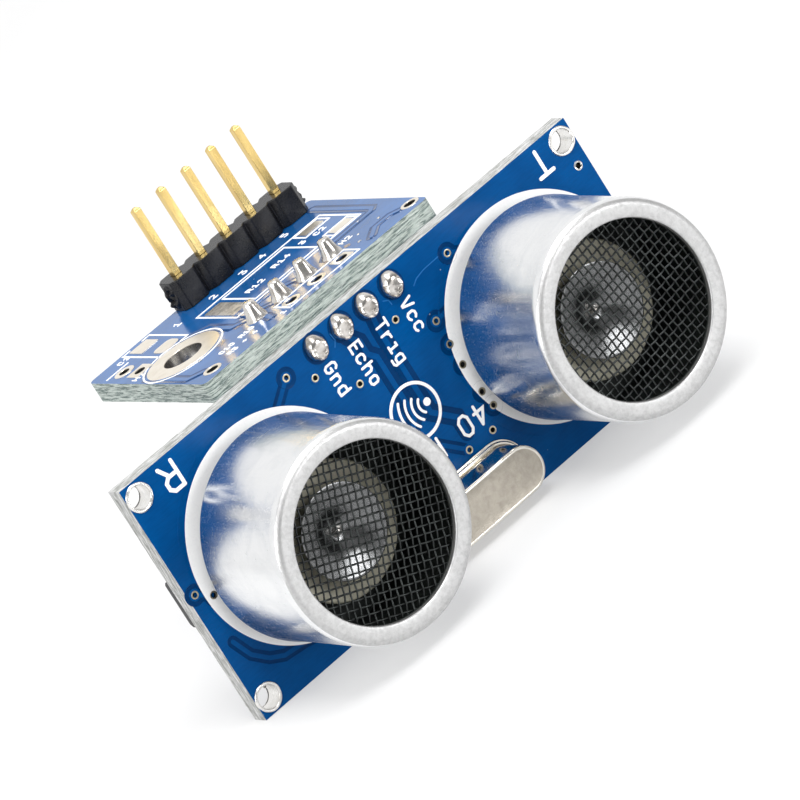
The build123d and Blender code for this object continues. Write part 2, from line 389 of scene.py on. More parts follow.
def groove_section(width):
    """Half-section of a gap between copper areas: a low floor with a raised lip."""
    half = width / 2
    return [(0, GROOVE_LEVEL), (half - 0.07, GROOVE_LEVEL), (half - 0.03, TRACE_LEVEL), (half, SUNK)]


def lifted(section, step):
    """A section a little higher, so that lines that cross never share a level."""
    return [(offset, level + step) for offset, level in section]


def track(gaps, tracks, line, put, widths, steps):
    """A copper track down the middle of a gap, each lifted by a step of its own."""
    relief(gaps, line, lifted(groove_section(widths[0]), steps[0]), put)
    relief(tracks, line, lifted(flat_section(widths[1], TRACE_LEVEL), steps[1]), put)


def walls(bm, outline, level, put):
    """The upper points of an outline, with walls down into the board."""
    upper = [bm.verts.new(put(u, v, level)) for u, v in outline]
    lower = [bm.verts.new(put(u, v, SUNK)) for u, v in outline]
    for i in range(len(outline)):
        j = (i + 1) % len(outline)
        bm.faces.new((upper[i], upper[j], lower[j], lower[i]))
    return upper


def patch(bm, outline, put):
    """A flat bare pad with the given outline."""
    bm.faces.new(walls(bm, outline, PAD_LEVEL, put))


def punched(bm, loops, level, put):
    """A thin sheet with the first loop as its outline and the others as holes."""
    edges = []
    for loop in loops:
        upper = walls(bm, loop, level, put)
        edges += [bm.edges.get(pair) for pair in zip(upper, upper[1:] + upper[:1])]
    bmesh.ops.triangle_fill(bm, use_beauty=True, use_dissolve=False, edges=edges)


def rounded(u0, v0, u1, v1, radius):
    """Outline of a rectangle with round corners."""
    corners = [(u1 - radius, v0 + radius, 270), (u1 - radius, v1 - radius, 0),
               (u0 + radius, v1 - radius, 90), (u0 + radius, v0 + radius, 180)]
    return [p for cu, cv, start in corners for p in arc(cu, cv, radius, start, start + 90, 5)]


def plated_ring(bm, radii, put, steps=48):
    """A thin bare ring with softened edges."""
    inner, outer = radii
    soft, low = SHOULDER_WIDTH * PAD_LEVEL, SHOULDER_RISE * PAD_LEVEL
    turn(bm, [(inner, SUNK), (inner, low), (inner + soft, PAD_LEVEL), (outer - soft, PAD_LEVEL),
              (outer, low), (outer, SUNK)], put, steps)


# ---- material helpers

def fill(socket, value):
    """Give a socket a constant, or link another node's output to it."""
    if isinstance(value, bpy.types.NodeSocket):
        socket.id_data.links.new(value, socket)
    else:
        socket.default_value = value


def connect(made, **sockets):
    """Fill a node's sockets, named with underlines for spaces."""
    for key, value in sockets.items():
        fill(made.inputs[key.replace("_", " ")], value)
    return made


def coords(shader, stretch=(1, 1, 1)):
    """Position on the part in millimetres, stretched along each axis."""
    nodes = shader.id_data.nodes
    scaler = nodes.new("ShaderNodeVectorMath")
    scaler.operation = "MULTIPLY"
    fill(scaler.inputs[0], nodes.new("ShaderNodeTexCoord").outputs["Object"])
    scaler.inputs[1].default_value = [s / MM for s in stretch]
    return scaler.outputs[0]


def new_material(name, stretch=(1, 1, 1)):
    """A material, its shader, and the place on the part."""
    material = bpy.data.materials.new(name)
    material.use_nodes = True
    shader = material.node_tree.nodes["Principled BSDF"]
    return material, shader, coords(shader, stretch)


def cloud(where, scale, detail=3.0, rough=0.5, warp=0.0):
    """Soft noise; scale is in features per millimetre."""
    made = where.id_data.nodes.new("ShaderNodeTexNoise")
    connect(made, Vector=where, Scale=scale, Detail=detail, Roughness=rough, Distortion=warp)
    return made.outputs["Fac"]


def spread(value, low, high, to_low=0, to_high=1):
    """Map a range onto another, clamped."""
    made = value.id_data.nodes.new("ShaderNodeMapRange")
    connect(made, Value=value, From_Min=low, From_Max=high, To_Min=to_low, To_Max=to_high)
    return made.outputs["Result"]


def dots(where, scale, size):
    """One round dot in each cell, 1 inside and 0 outside."""
    cells = connect(where.id_data.nodes.new("ShaderNodeTexVoronoi"), Vector=where, Scale=scale)
    return spread(cells.outputs["Distance"], size, 0.6 * size)


def maths(operation, a, b):
    made = a.id_data.nodes.new("ShaderNodeMath")
    made.operation = operation
    fill(made.inputs[0], a)
    fill(made.inputs[1], b)
    return made.outputs[0]


def scaled(a, b):
    return maths("MULTIPLY", a, b)


def added(total, *others):
    for other in others:
        total = maths("ADD", total, other)
    return total


def blended(factor, a, b):
    """Mix two colours by a factor."""
    made = factor.id_data.nodes.new("ShaderNodeMix")
    made.data_type = "RGBA"
    fill(made.inputs[0], factor)
    for socket, value in ((made.inputs[6], a), (made.inputs[7], b)):
        fill(socket, value if isinstance(value, bpy.types.NodeSocket) else (*value, 1))
    return made.outputs[2]


def bumped(shader, height, depth):
    """Bump from a 0 to 1 height; depth is in millimetres."""
    made = shader.id_data.nodes.new("ShaderNodeBump")
    connect(made, Height=height, Strength=1.0, Distance=depth * MM)
    fill(shader.inputs["Normal"], made.outputs["Normal"])


def grey(value):
    return (value, value, value)


# ---- materials

def mask_paint(name, light, deep, gloss=0.13, level=0.06):
    """Glossy solder mask: depth changes, a trace of glass weave, orange peel and dust."""
    material, shader, where = new_material(name)
    colour = blended(spread(cloud(where, 0.22, 2), 0.35, 0.65), deep, light)
    weave = cloud(coords(shader, (0.5, 1, 4)), 1.6, 2)
    colour = blended(spread(weave, 0.4, 0.7, 0, 0.10), colour, grey(0.0))
    dust = scaled(dots(where, 0.9, 0.055), spread(cloud(where, 0.5, 1), 0.52, 0.56, 0, 0.5))
    colour = blended(dust, colour, (0.45, 0.55, 0.62))
    shade = spread(cloud(where, 0.6, 4), 0.3, 0.75, gloss, gloss + 0.09)
    connect(shader, Base_Color=colour, Roughness=added(shade, dust), IOR=1.5, Specular_IOR_Level=level)
    bumped(shader, added(cloud(where, 1.4, 3), scaled(dust, 3.0)), 0.006)
    return material


def laminate(name, pale, dark, fibre, through):
    """Sawn glass-epoxy edge: long pale glass bundles in resin, with fine splinters."""
    material, shader, where = new_material(name)
    stretch = [0.55, 0.55, 0.55]
    stretch[through] = 6.0
    bundles = cloud(coords(shader, stretch), 1.3, 4, 0.6, 0.6)
    splinter = cloud(coords(shader, [0.4 * s for s in stretch]), 9.0, 3, 0.7)
    grain = cloud(where, 11.0, 3, 0.7)
    colour = blended(spread(bundles, 0.42, 0.56), dark, pale)
    colour = blended(spread(splinter, 0.5, 0.72, 0, 0.7), colour, fibre)
    colour = blended(spread(grain, 0.55, 0.8, 0, 0.45), colour, grey(0.92))
    connect(shader, Base_Color=colour, Roughness=0.62)
    bumped(shader, added(bundles, scaled(splinter, 0.8), scaled(grain, 0.5)), 0.09)
    return material


def grained(name, colour, fleck, rough, scale=8.0, reach=(0.48, 0.7, 0, 1), depth=0.01):
    """A grainy surface with flecks: fired ceramic, or printed ink thin in places."""
    material, shader, where = new_material(name)
    grain = cloud(where, scale, 4, 0.7)
    connect(shader, Base_Color=blended(spread(grain, *reach), colour, fleck), Roughness=rough)
    bumped(shader, grain, depth)
    return material


def metal(name, bright, dull, roughness, bump_scale, bump_depth, blotch=0.5, streak=(1, 1, 1)):
    """Bare metal: soft patches of duller skin over a fine surface grain."""
    material, shader, where = new_material(name, streak)
    patches = spread(cloud(where, blotch, 4, 0.6, 0.4), 0.38, 0.7)
    grain = cloud(where, bump_scale, 4, 0.65)
    shade = spread(added(patches, grain), 0.3, 1.6, *roughness)
    connect(shader, Base_Color=blended(patches, bright, dull), Metallic=1.0, Roughness=shade)
    bumped(shader, grain, bump_depth)
    return material


def can_wall_metal():
    """Drawn aluminium, nearly a mirror, with pitting, rubbed marks and faint draw lines."""
    material, shader, where = new_material("can_wall_aluminium")
    lines = cloud(coords(shader, (2.2, 0.12, 2.2)), 2.4, 3, 0.6)
    patches = spread(cloud(where, 0.35, 4, 0.6, 0.8), 0.45, 0.72)
    parts = connect(where.id_data.nodes.new("ShaderNodeSeparateXYZ"), Vector=where)
    near_foot = spread(parts.outputs["Y"], -7.5, -2.5, 0.15, 1)
    pits = scaled(dots(where, 6.5, 0.24), spread(cloud(where, 1.6, 4), 0.46, 0.60, 0, 0.3))
    pits = scaled(pits, near_foot)
    rubbed = spread(cloud(coords(shader, (0.5, 1.6, 1.0)), 1.5, 5, 0.75, 1.2), 0.6, 0.74)
    colour = blended(patches, (0.87, 0.875, 0.88), (0.80, 0.81, 0.82))
    colour = blended(pits, colour, grey(0.95))
    shade = added(spread(lines, 0.3, 0.7, 0.19, 0.25), scaled(patches, 0.05), scaled(rubbed, 0.14),
                  scaled(pits, 0.5))
    connect(shader, Base_Color=colour, Metallic=1.0, Roughness=shade)
    bumped(shader, added(scaled(lines, 0.35), cloud(where, 1.1, 2), scaled(pits, 0.9)), 0.006)
    return material


def plastic(name, colour, rough, grain_scale, grain_depth, sheen=(0.012, 0.012, 0.013), level=0.5):
    """Moulded plastic: fine texture, cloudy gloss and a little dust."""
    material, shader, where = new_material(name)
    grain = cloud(where, grain_scale, 4, 0.6)
    tone = blended(spread(cloud(where, 0.8, 3), 0.35, 0.7), colour, sheen)
    tone = blended(scaled(dots(where, 1.7, 0.05), 0.25), tone, grey(0.3))
    shade = spread(grain, 0.3, 0.7, rough, rough + 0.08)
    connect(shader, Base_Color=tone, Roughness=shade, IOR=1.5, Specular_IOR_Level=level)
    bumped(shader, grain, grain_depth)
    return material


def rubber(name, colour, shade):
    """Matt silicone with a waxy bloom."""
    material, shader, where = new_material(name)
    connect(shader, Base_Color=blended(cloud(where, 1.6, 4), colour, shade), Roughness=0.7,
            Subsurface_Weight=0.1, Subsurface_Scale=0.4 * MM)
    bumped(shader, cloud(where, 6.0, 3), 0.01)
    return material


def glass(name, tint, rough):
    """Clear or tinted glass with small bubbles."""
    material, shader, where = new_material(name)
    bubbles = dots(where, 5.0, 0.12)
    shade = spread(cloud(where, 3.0, 3), 0.3, 0.7, rough, rough + 0.1)
    connect(shader, Base_Color=blended(bubbles, tint, grey(0.9)), Roughness=shade, IOR=1.5,
            Transmission_Weight=0.6)
    bumped(shader, bubbles, 0.01)
    return material


def flux(name):
    """Dried flux: a thin tan film, patchy and half clear."""
    material, shader, where = new_material(name)
    patchy = cloud(where, 1.8, 5, 0.7, 0.5)
    connect(shader, Base_Color=blended(patchy, (0.40, 0.27, 0.15), (0.60, 0.50, 0.36)),
            Roughness=0.6, Alpha=spread(patchy, 0.36, 0.60, 0.04, 0.62))
    bumped(shader, patchy, 0.03)
    return material


def backdrop(name):
    """Pale seamless paper."""
    material, shader, where = new_material(name)
    connect(shader, Base_Color=blended(cloud(where, 0.15, 3), grey(0.40), grey(0.42)), Roughness=0.85,
            Emission_Color=(1, 1, 1, 1), Emission_Strength=0.42)
    return material


MASK = mask_paint("front_mask", (0.0, 0.073, 0.260), (0.0, 0.056, 0.205))
MASK_DEEP = mask_paint("front_mask_over_gaps", (0.0, 0.036, 0.135), (0.0, 0.028, 0.110))
# A lighter blue mask for the raised ripple lines: a painted highlight along copper edges
MASK_PAINTED_HIGHLIGHT = mask_paint("front_mask_painted_highlight", (0.02, 0.15, 0.42), (0.015, 0.12, 0.36))
MASK_ADAPTER = mask_paint("adapter_mask", (0.006, 0.10, 0.32), (0.004, 0.08, 0.26), 0.11, 0.75)
MASK_ADAPTER_DEEP = mask_paint("adapter_mask_over_gaps", (0.002, 0.045, 0.17), (0.001, 0.035, 0.13),
                               0.11, 0.75)
EDGE_FRONT = laminate("front_laminate_edge", grey(0.72), (0.26, 0.27, 0.25), (0.10, 0.10, 0.09), 1)
EDGE_ADAPTER = laminate("adapter_laminate_edge", (0.50, 0.57, 0.53), (0.09, 0.14, 0.13),
                        (0.80, 0.84, 0.80), 2)
INK = grained("marking_ink", grey(0.94), (0.78, 0.80, 0.82), 0.55, 5.0, (0.5, 0.78, 0, 0.5), 0.012)
WALL = can_wall_metal()
RIM = metal("can_rim_aluminium", grey(0.58), grey(0.47), (0.36, 0.52), 9.0, 0.016, 3.2)
# The cans' inside wall is painted near black: painted shade in the hollow, over bare aluminium
INSIDE_PAINTED_SHADE = metal("can_inside_painted_shade", (0.10, 0.115, 0.112), (0.065, 0.078, 0.076), (0.5, 0.65), 4.0, 0.01)
WIRE = metal("screen_wire_dark", (0.052, 0.057, 0.056), (0.028, 0.030, 0.030), (0.3, 0.45), 6.0, 0.006)
# The cone's aluminium is darkened well below bare metal: painted shade for the cone deep inside the can
DISH_PAINTED_SHADE = metal("cone_aluminium", (0.31, 0.315, 0.32), (0.25, 0.255, 0.26), (0.20, 0.27), 3.0, 0.003, 0.9)
SOLDER = metal("solder_bright", (0.76, 0.74, 0.71), (0.50, 0.47, 0.43), (0.19, 0.30), 1.4, 0.006, 1.2)
SOLDER_BROWNED = metal("solder_fluxed", (0.72, 0.69, 0.66), (0.30, 0.27, 0.235), (0.17, 0.30), 1.4,
                       0.004, 0.9)
SOLDER_DULL = metal("solder_levelled", (0.86, 0.85, 0.83), (0.74, 0.72, 0.69), (0.2, 0.36), 3.5,
                    0.015, 1.0)
TIN = metal("tin_plate", (0.76, 0.76, 0.75), (0.60, 0.60, 0.59), (0.26, 0.42), 4.0, 0.01, 1.0)
NICKEL_TOP = metal("crystal_top_nickel", (0.43, 0.395, 0.34), (0.35, 0.32, 0.275), (0.34, 0.48), 11.0,
                   0.024, 1.8)
NICKEL_SIDE = metal("crystal_side_nickel", (0.74, 0.71, 0.65), (0.64, 0.61, 0.55), (0.08, 0.2), 2.0,
                    0.008, 0.6)
GOLD = metal("pin_gold", (0.84, 0.63, 0.25), (0.60, 0.42, 0.15), (0.12, 0.26), 3.0, 0.008, 0.9,
             (2, 2, 0.25))
PLATED_HOLE = metal("hole_plating", (0.80, 0.78, 0.74), (0.16, 0.15, 0.14), (0.16, 0.4), 1.6, 0.03, 1.1,
                    (1.6, 1.6, 0.3))
# Small hole walls painted near black: painted shade inside the holes, over plating that is bright metal
SMALL_HOLE_PAINTED_SHADE = metal("small_hole_painted_shade", grey(0.10), grey(0.04), (0.4, 0.6), 4.0, 0.02, 1.6)
COPPER_RING = metal("via_ring", (0.62, 0.55, 0.40), (0.42, 0.38, 0.28), (0.3, 0.5), 4.0, 0.01, 2.0)
CREAM_PAD = metal("pad_flash_plate", (0.90, 0.84, 0.74), (0.80, 0.74, 0.64), (0.30, 0.45), 3.0, 0.01, 0.8)
TARNISHED = metal("pad_tarnished", (0.95, 0.92, 0.88), (0.24, 0.23, 0.21), (0.30, 0.50), 3.0, 0.02, 1.6)
HEADER = plastic("header_nylon", (0.010, 0.010, 0.012), 0.24, 7.0, 0.005, (0.006, 0.006, 0.007), 0.28)
EPOXY = plastic("chip_epoxy", (0.030, 0.030, 0.032), 0.45, 10.0, 0.012, (0.022, 0.022, 0.023))
BASE = plastic("transducer_base", (0.045, 0.052, 0.05), 0.5, 6.0, 0.01, (0.03, 0.034, 0.033))
CREAM = grained("cream_coating", (0.72, 0.69, 0.55), (0.58, 0.55, 0.43), 0.5)
PIEZO = grained("piezo_ceramic", (0.70, 0.67, 0.60), (0.60, 0.57, 0.52), 0.45)
GLAZE = plastic("resistor_glaze", (0.022, 0.022, 0.024), 0.16, 5.0, 0.008)
TAN = grained("capacitor_ceramic", (0.46, 0.33, 0.21), (0.38, 0.27, 0.17), 0.5)
SILICONE = rubber("silicone_ring", (0.62, 0.60, 0.52), (0.54, 0.52, 0.45))
SEAL = glass("fused_glass", (0.30, 0.36, 0.40), 0.08)
QUARTZ = glass("quartz_blank", (0.85, 0.86, 0.86), 0.03)
FLUX = flux("dried_flux")
PAPER = backdrop("seamless_paper")


# ---- boards and markings

# Holes of a larger radius than these have bright plating; the walls of smaller holes are painted near black
# as painted shade
LARGE_HOLE = 1.2
MOUNT_HOLE = 0.7


def board(cad, name, axis, paint_material, edge_material, bevel):
    """A drilled board: painted faces, sawn laminate edges, plated large holes, and small holes whose walls
    are painted near black as painted shade.
    """
    low, high = box_mm(cad)
    holes = drilled(cad, axis)
    i, j = (k for k in range(3) if k != axis)

    def choose(face):
        if abs(face.normal[axis]) > FACING:
            return 0
        if not is_bore(face, axis, low, high):
            return 1
        middle = face.calc_center_median()
        near = min(holes, key=lambda hole: hypot(hole[0] - middle[i], hole[1] - middle[j]) - hole[2])
        return 2 if near[2] > LARGE_HOLE else 3 if near[2] > MOUNT_HOLE else 4
    materials = (paint_material, edge_material, PLATED_HOLE, SOLDER_DULL, SMALL_HOLE_PAINTED_SHADE)
    detailed(cad, name, materials, bevel, choose)


# Stroke letters on a cap height of one; | parts the strokes and @ marks a closed one
SHOULDER = ".05,.5 .25,.7 .45,.7 .6,.55 .6,0"
GLYPHS = {
    "V": "0,1 .27,.05 .38,.05 .65,1",
    "c": ".6,.58 .45,.7 .2,.7 .05,.55 .05,.15 .2,0 .45,0 .6,.12",
    "T": "0,1 .7,1|.35,1 .35,0",
    "r": ".1,.7 .1,0|.1,.42 .32,.68 .58,.7",
    "i": ".12,.7 .35,.7 .35,0|.1,0 .6,0",
    "g": ".6,.7 .2,.7 .05,.55 .05,.15 .2,0 .6,0|.6,.7 .6,-.2 .45,-.34 .1,-.34",
    "E": ".65,1 .05,1 .05,0 .65,0|.05,.52 .5,.52",
    "h": ".05,1 .05,0|" + SHOULDER,
    "o": "@.2,0 .45,0 .6,.15 .6,.55 .45,.7 .2,.7 .05,.55 .05,.15",
    "G": ".6,.85 .45,1 .2,1 .05,.8 .05,.2 .2,0 .45,0 .62,.2 .62,.48 .38,.48",
    "n": ".05,.7 .05,0|" + SHOULDER,
    "d": ".6,0 .2,0 .05,.15 .05,.55 .2,.7 .6,.7|.6,1 .6,0",
    "R": ".05,1 .48,1 .65,.85 .65,.6 .48,.45 .05,.45|.05,1 .05,0|.4,.45 .68,0",
    "C": ".62,.8 .45,1 .2,1 .05,.8 .05,.2 .2,0 .45,0 .62,.2",
    "H": ".05,0 .05,1|.65,0 .65,1|.05,.5 .65,.5",
    "k": ".05,1 .05,0|.55,.7 .05,.28|.22,.42 .6,0",
    "z": ".05,.7 .6,.7 .05,0 .6,0",
    "0": "@.2,0 .45,0 .62,.2 .62,.8 .45,1 .2,1 .05,.8 .05,.2",
    "1": ".1,.75 .35,1 .35,0|.1,0 .6,0",
    "2": ".05,.8 .2,1 .45,1 .6,.82 .6,.62 .05,0 .62,0",
    "3": ".08,1 .6,1 .3,.6 .5,.55 .62,.38 .62,.18 .45,0 .2,0 .05,.15",
    "4": ".48,1 .05,.33 .66,.33|.48,1 .48,0",
    "5": ".58,1 .1,1 .08,.58 .42,.6 .6,.42 .6,.18 .42,0 .08,.05",
    "+": ".3,.15 .3,.75|0,.45 .6,.45",
}
ADVANCE = 0.985
STROKE_LIFT = 0.0015


def letters(bm, text, put, height, width):
    """Raised ink letters on a face; the text starts at the face's origin."""
    section = flat_section(width)
    for i, letter in enumerate(text):
        strokes = GLYPHS[letter].split("|") if letter != " " else []
        for k, stroke in enumerate(strokes):
            points = points_of(stroke.lstrip("@"))
            line = [((u + ADVANCE * i) * height, v * height) for u, v in points]
            shape = lifted(section[:-1], STROKE_LIFT * k) + section[-1:]
            relief(bm, line, shape, put, closed=stroke.startswith("@"))


MOUNT_HOLES = FRONT_HOLES[90]
HEADER_HOLES = sorted(FRONT_HOLES[50])
VIAS = FRONT_HOLES[20]
CORNER_VIA = FRONT_HOLES[25]
BOTH_SIDES = (on_front, on_back)

# Front tracks, each down the middle of a gap between copper areas
FRONT_TRACKS = lines_of("""
    -1.27,7.9 -0.62,7.0 -0.62,5.9 -0.12,5.3 -0.12,0.1 -1.2,-1.0 -4.5,-1.0
    1.27,7.9 1.12,6.8 1.12,-0.5 2.7,-2.1 2.7,-3.4
""")
FRONT_SIDE_TRACKS = lines_of("""
    -7.0,8.5 -8.7,7.25 -9.5,6.0
    -21.4,-3.9 -20.75,-5.5 -19.7,-6.6 -18.6,-7.2 -16.6,-7.45 -11.0,-8.9 -7.0,-8.9
    2.1,-4.55 0.3,-2.75 -0.9,-2.4
    5.25,2.5 6.6,2.5; 5.3,4.5 6.9,4.6; 8.9,7.85 10.2,7.2; -21.9,0.6 -20.7,-0.3
""")
# Raised ripple lines along copper edges; their lighter blue mask is a painted highlight
RIPPLE_HIGHLIGHT_LINES = lines_of("5.3,7.6 5.8,7.9 6.6,8.05 8.5,8.1; 2.6,8.2 3.0,8.0 3.05,7.6; -2.3,8.9 -2.2,8.3 -2.5,7.9")

# Can, radius, start and stop angle of the tracks that curve round the cans
CURVED_TRACKS = (("t", 8.95, 118, 150), ("r", 8.98, 112, 152), ("t", 9.3, 205, 232))

# Width of a gap and of the track in it
FRONT_WIDTHS = (1.34, 0.42)
SIDE_WIDTHS = (0.92, 0.34)
ADAPTER_WIDTHS = (1.0, 0.4)
REAR_WIDTHS = (0.8, 0.3)

RING_CENTRE_LIFT = 0.33
RING_INNER = 6.9
RING_OUTER = 8.45
VIA_REACH = 0.4
VIA_LAND = [(0.19, SUNK), (0.19, 0.03), (0.44, 0.03), (0.47, SUNK)]
VIA_BEAD = [(0.19, SUNK), (0.19, 0.045), (0.23, 0.06), (0.30, 0.045), (0.32, SUNK)]
CORNER_BEAD = [(0.23, SUNK), (0.23, 0.05), (0.28, 0.085), (0.35, 0.05), (0.38, SUNK)]
MOUNT_BEAD = [(0.87, SUNK), (0.87, 0.05), (0.91, 0.10), (0.98, 0.125), (1.06, 0.10), (1.11, 0.04),
              (1.12, SUNK)]


def can_centre(side):
    return centre(box_mm(f"{side}_can"))


def clear_of_vias(line):
    """Pull the ends of a track back from the via they run into."""
    line = list(line)
    for end, beside in ((0, 1), (-1, -2)):
        for via in VIAS:
            if dist(line[end], via) < VIA_REACH:
                way = (Vector(line[beside]) - Vector(via)).normalized()
                line[end] = tuple(Vector(via) + way * VIA_REACH)
    return line


def front_copper():
    """The relief that copper gives the front face: gaps, tracks, clearances, and raised ripple lines coloured
    a lighter blue as a painted highlight.
    """
    gaps, tracks, ripple_highlights = bmesh.new(), bmesh.new(), bmesh.new()
    for k, line in enumerate(FRONT_TRACKS):
        track(gaps, tracks, line, on_front, FRONT_WIDTHS, (0.001 * k, 0.0))
    for k, line in enumerate(FRONT_SIDE_TRACKS):
        track(gaps, tracks, clear_of_vias(line), on_front, SIDE_WIDTHS, (0.0007 * (k + 3), 0.0006 * (k + 1)))
    for side, radius, start, stop in CURVED_TRACKS:
        u, v = can_centre(side)
        line = arc(u, v + RING_CENTRE_LIFT, radius, start, stop, 24)
        relief(tracks, line, flat_section(0.14, TRACE_LEVEL), on_front)
    # The ripple lines are raised, and their lighter blue is a painted highlight
    for line in RIPPLE_HIGHLIGHT_LINES:
        relief(ripple_highlights, clear_of_vias(line), flat_section(0.09, 0.02), on_front)
    for k, (u, v) in enumerate(HEADER_HOLES):
        level = 0.012 + 0.0008 * k
        turn(gaps, [(0, level), (1.0, level), (1.06, 0.024), (1.09, SUNK)], moved(on_front, u, v + 0.15),
             squash=1.12, wobble=lambda a, h, k=k: 1 + 0.03 * sin(2 * a + k))
    for k, (u, v) in enumerate(VIAS):
        face = moved(on_front, u, v)
        level = 0.016 + 0.0005 * k
        between_cans = -6.0 <= u <= 5.0
        if not between_cans:
            moat = [(0.46, SUNK), (0.46, level), (0.74, level), (0.79, level + 0.014), (0.83, SUNK)]
            turn(gaps, moat, face)
        turn(tracks, VIA_LAND, face)
    piece("front_copper_gaps", gaps, (MASK_DEEP,))
    piece("front_copper_tracks", tracks, (MASK,))
    piece("front_copper_ridges_painted_highlight", ripple_highlights, (MASK_PAINTED_HIGHLIGHT,))


def front_rings():
    """Plated rings round the mounting holes and the vias."""
    bm = bmesh.new()
    for k, (u, v) in enumerate(MOUNT_HOLES):
        for put in BOTH_SIDES:
            turn(bm, MOUNT_BEAD, moved(put, u, v), steps=64,
                 wobble=lambda a, h, k=k: 1 + 0.012 * sin(3 * a + k) + 0.006 * sin(7 * a + 2 * k))
    turn_all(bm, CORNER_BEAD, CORNER_VIA, BOTH_SIDES)
    piece("hole_rings", bm, (SOLDER_DULL,))
    bm = bmesh.new()
    turn_all(bm, VIA_BEAD, VIAS, BOTH_SIDES, steps=32)
    piece("via_rings", bm, (COPPER_RING,))


def ink_dot(bm, put, u, v, radius, foot, steps):
    turn(bm, [(0, INK_LEVEL), (radius, INK_LEVEL), (foot, SUNK)], moved(put, u, v), steps)


def sound_mark(bm, put):
    """A generic sound symbol: a source dot and four wave fronts in a ring."""
    source = -1.15
    relief(bm, circle(0, 0, 2.04, 96), flat_section(0.25), put, closed=True)
    ink_dot(bm, put, source, 0, 0.3, 0.33, 32)
    for radius, reach in ((0.75, 48), (1.3, 44), (1.85, 38), (2.4, 32)):
        relief(bm, arc(source, 0, radius, -reach, reach, 16), flat_section(0.2), put)


def ring_edge(u, v, radius, spots, clear=0.3):
    """A printed ring's outer edge, drawn in round the vias that it meets."""
    points = []
    for a, b in circle(0, 0, 1, 480):
        reach = radius
        for p, q in spots:
            along = (p - u) * a + (q - v) * b
            aside = abs((p - u) * b - (q - v) * a)
            if aside < clear and along > 0:
                reach = min(reach, along - sqrt(clear ** 2 - aside ** 2))
        points.append((u + reach * a, v + reach * b))
    return points


# Text, place, turn, height and line width
FRONT_TEXT = (
    ("Gnd", -4.12, 7.25, -90, 0.95, 0.19), ("Echo", -1.62, 7.25, -90, 0.95, 0.19),
    ("Trig", 1.0, 7.25, -90, 0.95, 0.19), ("Vcc", 3.6, 7.25, -90, 0.95, 0.19),
    ("T", 19.7, 9.42, 180, 1.88, 0.3), ("R", -17.8, 9.4, 180, 2.02, 0.3),
    ("40 kHz", 4.85, -2.25, 180, 1.5, 0.23),
)


def front_markings():
    """Printed rings, pin names, R and T, the working frequency and a sound symbol."""
    bm = bmesh.new()
    for side in "rt":
        u, v = can_centre(side)
        v += RING_CENTRE_LIFT
        away = {spot: dist(spot, (u, v)) for spot in VIAS}
        met = [spot for spot in VIAS if abs(away[spot] - RING_OUTER) < 0.3]
        inside = [spot for spot in VIAS if RING_INNER < away[spot] < RING_OUTER - 0.3]
        loops = [ring_edge(u, v, RING_OUTER, met), circle(u, v, RING_INNER, 120)]
        loops += [circle(a, b, 0.21, 20) for a, b in inside]
        punched(bm, loops, INK_LEVEL, on_front)
    for text, u, v, turned, height, width in FRONT_TEXT:
        letters(bm, text, moved(on_front, u, v, turned), height, width)
    sound_mark(bm, moved(on_front, 0.15, 0.32, 180))
    piece("front_markings", bm, (INK,))


# ---- transducers

SCREEN_PITCHES = (0.52, 0.612)
SCREEN_TURNS = {"r": -22.0, "t": 8.0}
SCREEN_REACH = 7.25
WIRE_RADIUS = 0.076
WIRE_SIDES = 6
WIRE_STRAY = 0.02
WEAVE_LIFT = 0.055
RIM_ROUND = 0.6
RIM_OPENING = 6.5
LIP_CENTRE = 6.66
LIP_ROUND = 0.16
CROWN = 0.006
CAN_WALL = 0.38
FOOT_FLARE = 0.11
FLARE_REACH = 1.3
FLARE_STEPS = 12
LEAN = 0.33


def round_part(side, kind):
    """The face that a transducer's part is drawn on, its radius, and its foot and top."""
    low, high = box_mm(f"{side}_{kind}")
    return moved(on_front, *can_centre(side)), (high.x - low.x) / 2, FRONT_Y - high.y, FRONT_Y - low.y


def leaning(put, front):
    """A can stands a little crooked: its foot is shifted, its front is where it should be."""
    def place(u, v, w):
        return put(u, v + LEAN * (1 - w / front), w)
    return place


def can(side):
    """The drawn can: foot, wall, rolled shoulder, blasted rim, and an inside wall painted near black as
    painted shade.
    """
    upright, radius, foot, front = round_part(side, "can")
    put = leaning(upright, front)
    shoulder = arc(radius - RIM_ROUND, front - RIM_ROUND, RIM_ROUND, 0, 90, 12)
    wall = [(radius - CAN_WALL, foot), (radius + FOOT_FLARE - 0.06, foot),
            (radius + FOOT_FLARE - 0.01, foot + 0.03)]
    for k in range(FLARE_STEPS):
        lift = 0.08 + 0.042 * k * (k + 1)
        wall.append((radius + FOOT_FLARE * exp(-lift / FLARE_REACH), foot + lift))
    wall += [(radius, front - 3), (radius, front - 0.9), (radius + 0.012, front - 0.72)]
    wall += shoulder[:6]
    lip = arc(LIP_CENTRE, front - 0.18, LIP_ROUND, 90, 180, 5)
    rim = shoulder[5:] + [(7.0, front + CROWN)] + lip + [(RIM_OPENING, front - 0.45)]
    # The inside wall, painted near black as painted shade in the can's hollow
    inside = [(RIM_OPENING, front - 0.45), (RIM_OPENING, front - 0.6), (7.5, front - 0.6),
              (radius - 0.45, front - 0.66), (radius - 0.45, foot + 0.06), (radius - CAN_WALL, foot)]
    bm = bmesh.new()
    for k, profile in enumerate((wall, rim, inside)):
        turn(bm, profile, put, steps=224, material=k)
    piece(f"{side}_can_shell", bm, (WALL, RIM, INSIDE_PAINTED_SHADE), (f"{side}_can",), sharp=50)


